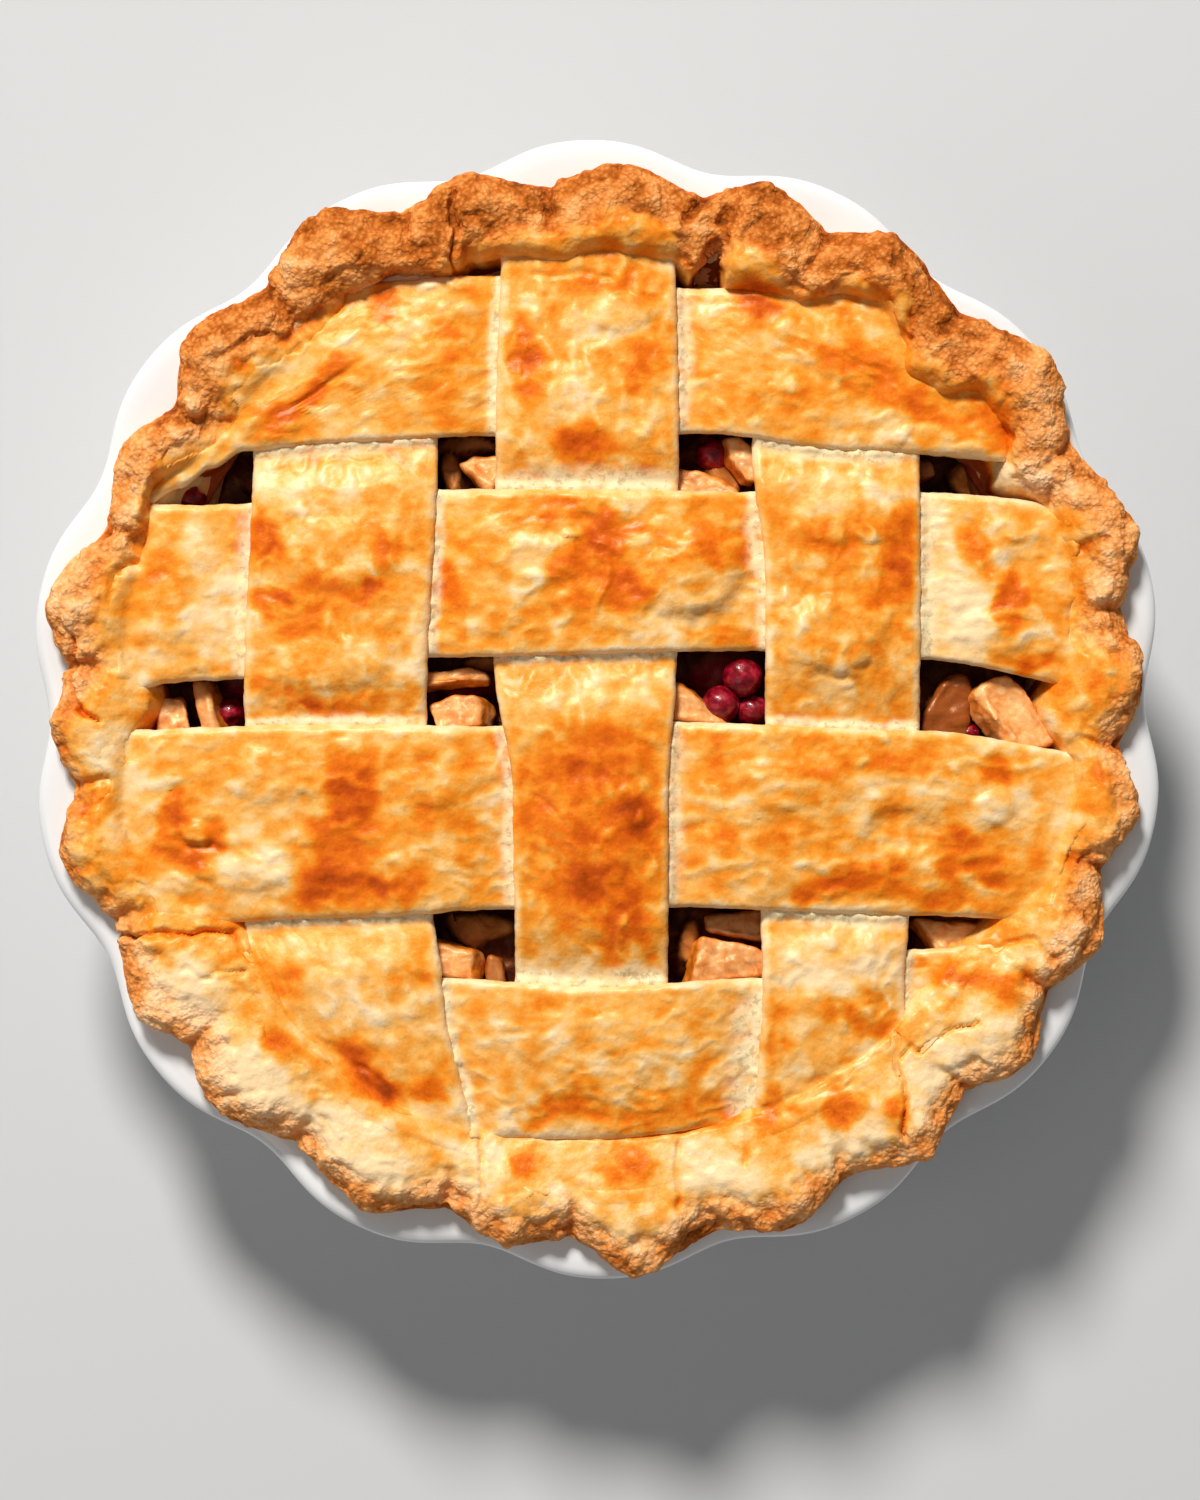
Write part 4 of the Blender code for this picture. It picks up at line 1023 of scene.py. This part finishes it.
# %% Torn layers, creases and folds
LAYERS, PINCH_DEPTH = 2.6, 1.5 * MM
layers = LAYERS * rough(strayed, np.array([9, 9, 4]) * MM, 54)
step = layers % 1
flakes = np.floor(layers) + ease((step - 0.5) / 0.45)
torn_edge = ease(1 - np.abs(step - 0.9) / 0.25)
crumb = (2.2 + 0.5 * pale_side) * lumps + (0.9 + 0.4 * pale_side) * torn + 0.65 * flakes
crumb = crumb + (0.35 + 0.65 * patchy) * (1.1 * (coarse - 0.5) + 0.4 * (fine - 0.5)) - 0.3
_, between = around(CRIMPS, angle)
pinch = np.exp(-((between - 0.5 + 0.12 * rough(p, 12 * MM, 48)) ** 2) / 0.0018)
pinch = pinch * ease((radius - outline + 14 * MM) / (8 * MM))
folds = all_lines(*wander(x, y, 6, 2.4, 83), FOLDS) * (0.45 + 0.55 * ease(0.5 + rough(p, 6 * MM, 51)))
slope, ridge = dough_relief(flat, **SLOPE_DOUGH)
lifting = 0.4 * MM * (flakes - layers) * ease(1.5 * rough(p, 16 * MM, 55))
relief = mix(0.9 * slope + lifting, crumb * MM, crumbly) - folds * MM - PINCH_DEPTH * pinch
above = ease((share + 0.03) / 0.06) * ease((SLOPE_PART + 0.03 - share) / 0.04)
move_points(edge, p + normal * (above * relief)[:, None])

# %% [markdown]
# Thin and torn dough browns most: the outermost rim. The creases between the pebbles, the torn steps, the folds
# and the pinches are coloured darker and the tops of lumps paler: partly that browning and partly painted
# shade and painted highlight. The side towards +Y is coloured darker. Towards -Y and the lower left the dough
# is painted paler, a painted light on slopes that turn away from the lamp.

# %% How the edge browned, and its painted shade and light
# Creases are coloured darker, partly browning of thin dough and partly painted shade.
crease_browning_and_shade = 1 - 0.62 * coarse - 0.38 * fine
outmost = ease((radius - outline + (6 + 4 * pale_side) * MM) / ((6 + 3 * pale_side) * MM))
dark_side, left_side = ease((y - 55 * MM) / (40 * MM)), ease((-x - 60 * MM) / (40 * MM))
baked = 0.25 + (0.10 + 0.22 * patchy) * crease_browning_and_shade * (1 - 0.45 * pale_side) + (0.10 + 0.22 * pale_side) * outmost
# The tops of lumps and torn layers are paler: partly less browning and partly a painted highlight.
baked = baked + 0.36 * rough(p, 8 * MM, 50) - 0.20 * lumps - 0.22 * torn + 0.09 * torn_edge
# Darker towards +Y. Towards -Y and the lower left the dough is painted paler: painted light on slopes that turn
# away from the lamp.
baked = baked + 0.22 * dark_side - 0.20 * pale_side - 0.03 * left_side * (1 - dark_side)
thin_rim = 3.0 * ease(in_oval(x, y, (-112, -32, 50, 84, 0)) * 1.5)
browner = crumbly * crumb_at(x, y, 1.2 + thin_rim, 9.0)
# The smooth slope's ridges are painted paler, as on the strips: partly thinner browning, partly a painted
# highlight.
inner = browning_at(flat) - 0.2 * ridge
inner = inner + crumbly * (0.30 * crease_browning_and_shade - 0.06 - 0.12 * lumps - 0.10 * torn - 0.14 * pale_side)
# Folds, cracks and pinched creases are coloured darker: partly browning and partly painted shade in them.
toast_and_painted_light = mix(inner, baked + 0.4 * toast_at(x, y), browner) + 0.15 * np.clip(folds, 0, 1.5) + 0.16 * pinch
# Dough that dips into the case under the lattice is painted much darker: painted shade.
painted_shade_below_lattice = ease((dome(x, y) - 3.5 * MM - z) / (3 * MM)) * (radius < 112 * MM)
toast_and_painted_light = toast_and_painted_light + 0.9 * painted_shade_below_lattice
keep_value(edge, "toast_and_painted_light", np.where(share < SLOPE_PART, toast_and_painted_light, 0.3))
keep_value(edge, "bare", np.where(share < SLOPE_PART, 0.0, 0.5))
keep_value(edge, "crumb", browner * above)
finish_piece(edge, "crimped_edge", "browned_pastry", "pastry_case")

# %% [markdown]
# ## The bottom crust
# Below the edge the same dough lines the dish. It is out of sight in the finished pie, but a pie that is cut
# or taken out needs it, so it is turned as a simple shell that follows the dish's flutes.

# %% Turn the bottom crust
CRUST_SECTION = (
    (0, 10.9), (83, 10.9), (90, 20.0), (104.2, 43.4), (105.6, 44.6), (110.4, 45.4), (99, 26), (87, 7.5),
    (0, 7.5),
)
crust = turned_piece(CRUST_SECTION, 224)
press_flutes(crust)
for name, value in (("toast_and_painted_light", 0.5), ("bare", 0.3), ("crumb", 0.0)):
    keep_value(crust, name, np.full(len(crust.data.vertices), value))
finish_piece(crust, "bottom_crust", "browned_pastry")

# %% [markdown]
# ## Helpers for finishes
# A finish is a small chain of nodes. A few helpers keep the chains short to write: one adds a node with its
# settings and plugs its inputs, others add the kinds that come back often, and one makes a node group whose
# named inputs and outputs any finish can use.

# %% Node helpers
def plug(tree, source, socket):
    """Links an output to a socket, or sets the socket to a number or colour."""
    if isinstance(source, bpy.types.NodeSocket):
        tree.links.new(source, socket)
    else:
        socket.default_value = source


def node(tree, kind, inputs=None, **settings):
    made = tree.nodes.new(kind)
    for key, value in settings.items():
        setattr(made, key, value)
    for key, value in (inputs or {}).items():
        plug(tree, value, made.inputs[key])
    return made


def sums(tree, operation, a, b, clamp=False):
    return node(tree, "ShaderNodeMath", {0: a, 1: b}, operation=operation, use_clamp=clamp).outputs[0]


def span(tree, value, start, end, low=0.0, high=1.0):
    """A value that runs from start to end, brought to run from low to high."""
    return node(tree, "ShaderNodeMapRange", {0: value, 1: start, 2: end, 3: low, 4: high}).outputs[0]


def on_piece(tree):
    return node(tree, "ShaderNodeTexCoord").outputs["Object"]


def noise(tree, where, scale, detail, roughness, distortion=0.0):
    """The outputs of a noise. The first is its height."""
    shape = {"Scale": scale, "Detail": detail, "Roughness": roughness, "Distortion": distortion}
    return node(tree, "ShaderNodeTexNoise", {"Vector": where, **shape}).outputs


def value_of(tree, name):
    return node(tree, "ShaderNodeAttribute", attribute_name=name).outputs["Fac"]


# %% Colour helpers
def blend(tree, share, a, b):
    """A colour between two others."""
    made = node(tree, "ShaderNodeMix", data_type="RGBA")
    for key, value in ((0, share), (6, a), (7, b)):
        plug(tree, (*value, 1) if isinstance(value, tuple) else value, made.inputs[key])
    return made.outputs[2]


def ramp(tree, share, stops):
    made = node(tree, "ShaderNodeValToRGB", {0: share})
    points = made.color_ramp.elements
    while len(points) < len(stops):
        points.new(0.5)
    for point, (place, colour) in zip(points, stops):
        point.position = place
        point.color = (*colour, 1)
    return made.outputs[0]


# %% Groups and finishes
def group(name, inputs, outputs):
    tree = bpy.data.node_groups.new(name, "ShaderNodeTree")
    for label, value in inputs.items():
        tree.interface.new_socket(label, in_out="INPUT", socket_type="NodeSocketFloat").default_value = value
    for label, kind in outputs.items():
        tree.interface.new_socket(label, in_out="OUTPUT", socket_type="NodeSocket" + kind)
    return tree, node(tree, "NodeGroupInput").outputs, node(tree, "NodeGroupOutput").inputs


def grouped(tree, used, **inputs):
    """The outputs of a node group with these inputs."""
    made = node(tree, "ShaderNodeGroup", node_tree=used)
    for key, value in inputs.items():
        plug(tree, value, made.inputs[key])
    return made.outputs


def finish_of(name, **values):
    """A new material whose shader has these values. In their names _ stands for a space."""
    made = bpy.data.materials.new(name)
    made.use_nodes = True
    shader = made.node_tree.nodes["Principled BSDF"]
    for key, value in values.items():
        shader.inputs[key.replace("_", " ")].default_value = value
    return made, made.node_tree, shader


def roughen(tree, shader, height, strength, distance):
    bump = node(tree, "ShaderNodeBump", {"Height": height, "Strength": strength, "Distance": distance})
    plug(tree, bump.outputs[0], shader.inputs["Normal"])


def wear(pieces, finish):
    for piece in pieces:
        piece.data.materials.clear()
        piece.data.materials.append(finish)


# %% [markdown]
# ## Oven browning, with painted light
# The colour of baked dough runs from cream through gold and orange to a deep brown, always in that order. So
# one number, how toasted a place is, is enough; it also carries the painted shade and painted light that the
# pieces store in it. The group adds fine mottling and pale flecks to it and looks the colour up. The pale
# flecks are partly paler dough and partly painted highlight. Where dough is bare of egg it stays the colour of
# flour, with small dark pits. Painting the colours on would do too, but here they follow the relief, and stay
# right when a shape is changed.

# %% The browning group, with painted light
browning, given, result = group(
    "browning_and_painted_light", {"Toast": 0.4, "Bare": 0.0, "Mottle": 0.2}, {"Colour": "Color", "Browned": "Float"}
)
where = on_piece(browning)
broad, fine = noise(browning, where, 230, 3, 0.55, 0.4)[0], noise(browning, where, 1300, 2, 0.6)[0]
uneven = sums(browning, "ADD", sums(browning, "MULTIPLY", broad, 1.5), fine)
uneven = sums(browning, "MULTIPLY", sums(browning, "SUBTRACT", uneven, 1.25), given["Mottle"])
# Pale flecks: partly paler dough and partly painted highlight.
flecks_and_highlights = span(browning, noise(browning, where, 160, 3, 0.5, 0.3)[0], 0.52, 0.70, 0.0, 0.20)
flecks_and_highlights = sums(browning, "MULTIPLY", flecks_and_highlights, sums(browning, "SUBTRACT", 1.15, given["Toast"], True))
toasted = sums(browning, "SUBTRACT", sums(browning, "ADD", given["Toast"], uneven), flecks_and_highlights)
baked = ramp(browning, toasted, (
    (0.0, (0.96, 0.69, 0.38)), (0.16, (0.95, 0.57, 0.22)), (0.32, (0.92, 0.43, 0.085)),
    (0.48, (0.90, 0.29, 0.018)), (0.64, (0.83, 0.17, 0.004)), (0.82, (0.62, 0.085, 0.002)),
    (1.0, (0.34, 0.042, 0.001)),
))
pitted = span(browning, noise(browning, where, 520, 3, 0.65)[0], 0.54, 0.62)
floury = blend(browning, fine, (0.84, 0.69, 0.38), (0.96, 0.86, 0.58))
floury = blend(browning, sums(browning, "MULTIPLY", pitted, 0.6), floury, (0.36, 0.30, 0.16))
plug(browning, blend(browning, given["Bare"], baked, floury), result["Colour"])
plug(browning, toasted, result["Browned"])

# %% [markdown]
# ## Fine flakes
# Below a millimetre the surface is made by a bump: paper-thin flakes on smooth dough, and granules where it
# has crumbled. The group mixes the two, so that a finish can ask for more or less of each.

# %% The flakes group
flakes, given, result = group("fine_flakes", {"Crumb": 0.0}, {"Height": "Float", "Creases": "Float"})
where = on_piece(flakes)
ripple, pins = noise(flakes, where, 520, 2, 0.5, 0.15), noise(flakes, where, 2100, 2, 0.6)[0]
pushed = {0: ripple["Color"], 1: (0.0012, 0.0012, 0.0012), 2: where}
bent = node(flakes, "ShaderNodeVectorMath", pushed, operation="MULTIPLY_ADD").outputs[0]
grained = {"Vector": bent, "Scale": 880, "Smoothness": 0.35, "Randomness": 1.0}
granules = node(flakes, "ShaderNodeTexVoronoi", grained, feature="SMOOTH_F1").outputs["Distance"]
smooth_part = sums(flakes, "ADD", ripple[0], sums(flakes, "MULTIPLY", pins, 0.14))
rough_part = sums(flakes, "ADD", sums(flakes, "MULTIPLY", granules, -1.5), sums(flakes, "MULTIPLY", pins, 0.6))
both = {0: given["Crumb"], 2: smooth_part, 3: rough_part}
plug(flakes, node(flakes, "ShaderNodeMix", both, data_type="FLOAT").outputs[0], result["Height"])
plug(flakes, granules, result["Creases"])


# %% [markdown]
# ## Pastry
# The strips and the edge were brushed with egg before baking, which leaves a satin gloss. Where one strip lay
# over another no egg reached, so it stays floury and dull there. Both finishes read the values that were
# stored with the points: how toasted, how bare of egg, and how crumbly. Crumb has browns of its own, less
# orange than the egg's. The egg is a thin coat over the dough, because it gathers in pools and the dough
# under it stays rough.

# %% The pastry finishes
def pastry(name, mottle, bump):
    made, tree, shader = finish_of(
        name, Coat_Roughness=0.30, Specular_IOR_Level=0.30, Specular_Tint=(1.0, 0.70, 0.36, 1)
    )
    # The stored toast value holds the browning together with painted shade and painted light.
    toast_and_painted_light, bare, crumb = (value_of(tree, key) for key in ("toast_and_painted_light", "bare", "crumb"))
    brown = grouped(tree, browning, Toast=toast_and_painted_light, Bare=bare, Mottle=mottle)
    flake = grouped(tree, flakes, Crumb=crumb)
    # Crumb is coloured darker in the creases between its fine granules: partly browning and partly painted
    # shade.
    between = sums(tree, "MULTIPLY", sums(tree, "SUBTRACT", flake["Creases"], 0.42), 0.35)
    crumbs = ramp(tree, sums(tree, "ADD", brown["Browned"], between), (
        (0.0, (0.98, 0.60, 0.32)), (0.25, (0.94, 0.45, 0.17)), (0.5, (0.80, 0.28, 0.062)),
        (0.75, (0.50, 0.12, 0.012)), (1.0, (0.22, 0.044, 0.002)),
    ))
    plug(tree, blend(tree, crumb, brown["Colour"], crumbs), shader.inputs["Base Color"])
    dullness = sums(tree, "MAXIMUM", bare, crumb)
    plug(tree, span(tree, dullness, 0.0, 1.0, 0.42, 0.8), shader.inputs["Roughness"])
    pools = span(tree, noise(tree, on_piece(tree), 110, 2, 0.5)[0], 0.35, 0.65, 0.06, 0.28)
    glaze = sums(tree, "MULTIPLY", pools, sums(tree, "SUBTRACT", 1.0, dullness, True))
    glaze = sums(tree, "MULTIPLY", glaze, span(tree, brown["Browned"], 0.45, 0.85, 1.0, 0.4))
    plug(tree, glaze, shader.inputs["Coat Weight"])
    roughen(tree, shader, flake["Height"], 0.7, bump)
    return made


wear(strips, pastry("glazed_pastry_finish", 0.18, 0.34 * MM))
wear([edge, crust], pastry("browned_pastry_finish", 0.24, 0.44 * MM))

# %% [markdown]
# ## Fruit
# Baked apple is soft and moist, tan to pink where the juice has soaked in. Its sides and low parts are darker,
# partly juice stain and partly painted shade. Cranberry skin is a deep, glossy crimson, and the juice is darker
# still, thick and wet. Light goes a little way into the apple, so its finish scatters some of it under the
# surface. The skin and the juice are so dark that a plain glossy finish is enough, and simpler than a clear
# liquid.

# %% The apple finish
made, tree, shader = finish_of(
    "baked_apple_finish", Roughness=0.34, Specular_Tint=(1.0, 0.8, 0.55, 1),
    Subsurface_Weight=0.15, Subsurface_Radius=(1.0, 0.35, 0.14), Subsurface_Scale=1.8 * MM,
)
flesh = noise(tree, on_piece(tree), 380, 4, 0.6, 0.6)[0]
pulp = ramp(tree, flesh, ((0.3, (0.80, 0.27, 0.055)), (0.5, (0.93, 0.43, 0.14)), (0.7, (0.98, 0.62, 0.28))))
# Side faces take a darker orange, and low or darkened parts the juice's colour: partly juice stain, partly
# painted shade.
side_colour_and_shade = ramp(tree, flesh, ((0.3, (0.46, 0.10, 0.006)), (0.55, (0.80, 0.21, 0.012)), (0.7, (0.90, 0.34, 0.04))))
soaked_and_shaded = blend(tree, value_of(tree, "side"), pulp, side_colour_and_shade)
plug(tree, blend(tree, value_of(tree, "juice"), soaked_and_shaded, (0.30, 0.065, 0.008)), shader.inputs["Base Color"])
roughen(tree, shader, flesh, 0.5, 0.5 * MM)
wear(apples, made)

# %% The cranberry finish
made, tree, shader = finish_of(
    "cranberry_finish", Roughness=0.30, Coat_Weight=0.25, Coat_Roughness=0.08, Specular_Tint=(1.0, 0.6, 0.6, 1)
)
skin = noise(tree, on_piece(tree), 420, 4, 0.65)[0]
reds = (0.36, (0.08, 0.001, 0.004)), (0.52, (0.23, 0.002, 0.010)), (0.68, (0.46, 0.018, 0.04))
plug(tree, ramp(tree, skin, reds), shader.inputs["Base Color"])
roughen(tree, shader, skin, 0.4, 0.5 * MM)
wear(berries, made)

# %% The juice finish
made, tree, shader = finish_of(
    "fruit_juice_finish", Roughness=0.36, Specular_IOR_Level=0.3, Specular_Tint=(1.0, 0.45, 0.25, 1)
)
pulpy = noise(tree, on_piece(tree), 170, 4, 0.6, 0.5)[0]
browns = (0.38, (0.020, 0.002, 0.002)), (0.5, (0.05, 0.007, 0.003)), (0.66, (0.13, 0.033, 0.008))
reddened = blend(tree, value_of(tree, "crimson"), ramp(tree, pulpy, browns), (0.16, 0.002, 0.010))
stewed = ramp(tree, pulpy, ((0.35, (0.26, 0.065, 0.010)), (0.6, (0.55, 0.19, 0.04))))
plug(tree, blend(tree, value_of(tree, "apple"), reddened, stewed), shader.inputs["Base Color"])
roughen(tree, shader, pulpy, 0.6, 1.0 * MM)
wear([filling], made)

# %% [markdown]
# ## White glaze
# Thick white glaze is bright, hard and smooth, with a slow unevenness that only its reflections show. An even
# white would look like plastic, so the gloss and the bump both vary over a few centimetres.

# %% The glaze finish
made, tree, shader = finish_of("white_glaze_finish", Coat_Weight=0.3, Coat_Roughness=0.05)
slow = noise(tree, on_piece(tree), 30, 2, 0.4)[0]
whites = (0.3, (0.80, 0.80, 0.80)), (0.7, (0.86, 0.86, 0.85))
plug(tree, ramp(tree, slow, whites), shader.inputs["Base Color"])
plug(tree, span(tree, slow, 0.0, 1.0, 0.10, 0.18), shader.inputs["Roughness"])
roughen(tree, shader, slow, 0.15, 1.0 * MM)
wear([dish], made)

# %% [markdown]
# ## Floor, light and camera
# A plain pale floor, and one soft window-like light from behind the pie, low enough to rake over the crust. A
# faint lamp from the front and a pale surround fill the shadows, so that the fruit in the gaps still shows. The
# camera looks straight down from a little over a metre.

# %% Floor and light
start_fresh()
bpy.ops.mesh.primitive_plane_add(size=6, location=(0, 0, 0))
floor = bpy.context.object
floor.name = "pale_floor"
wear([floor], finish_of("pale_floor_finish", Roughness=0.8, Base_Color=(0.62, 0.62, 0.62, 1))[0])


def soft_light(name, place, size, power):
    """A round lamp that faces the middle of the pie."""
    lamp = bpy.data.lights.new(name, "AREA")
    lamp.shape, lamp.size, lamp.energy, lamp.color = "DISK", size, power, (1.0, 0.98, 0.95)
    made = bpy.data.objects.new(name, lamp)
    bpy.context.collection.objects.link(made)
    made.location = place
    made.rotation_euler = (Vector((0, 0, 0.05)) - Vector(place)).to_track_quat("-Z", "Y").to_euler()


soft_light("window", (-0.70, 2.45, 2.40), 0.80, 152)
soft_light("fill", (-0.9, -0.6, 1.4), 1.2, 3.0)

scene = bpy.context.scene
scene.world = bpy.data.worlds.new("surround")
scene.world.use_nodes = True
surround = scene.world.node_tree.nodes["Background"]
surround.inputs["Color"].default_value = (0.95, 0.97, 1.0, 1)
surround.inputs["Strength"].default_value = 0.18
scene.view_settings.view_transform = "Standard"
scene.view_settings.look = "None"

# %% Camera
RIM_LEVEL, RANGE, VIEW_TALL = 50 * MM, 1.1, 0.35025
lens = bpy.data.cameras.new("camera")
lens.lens = 36 * RANGE / VIEW_TALL
lens.sensor_width = 36
camera = bpy.data.objects.new("camera", lens)
bpy.context.collection.objects.link(camera)
camera.location = (0.7 * MM, -9.5 * MM, RIM_LEVEL + RANGE)
scene.camera = camera
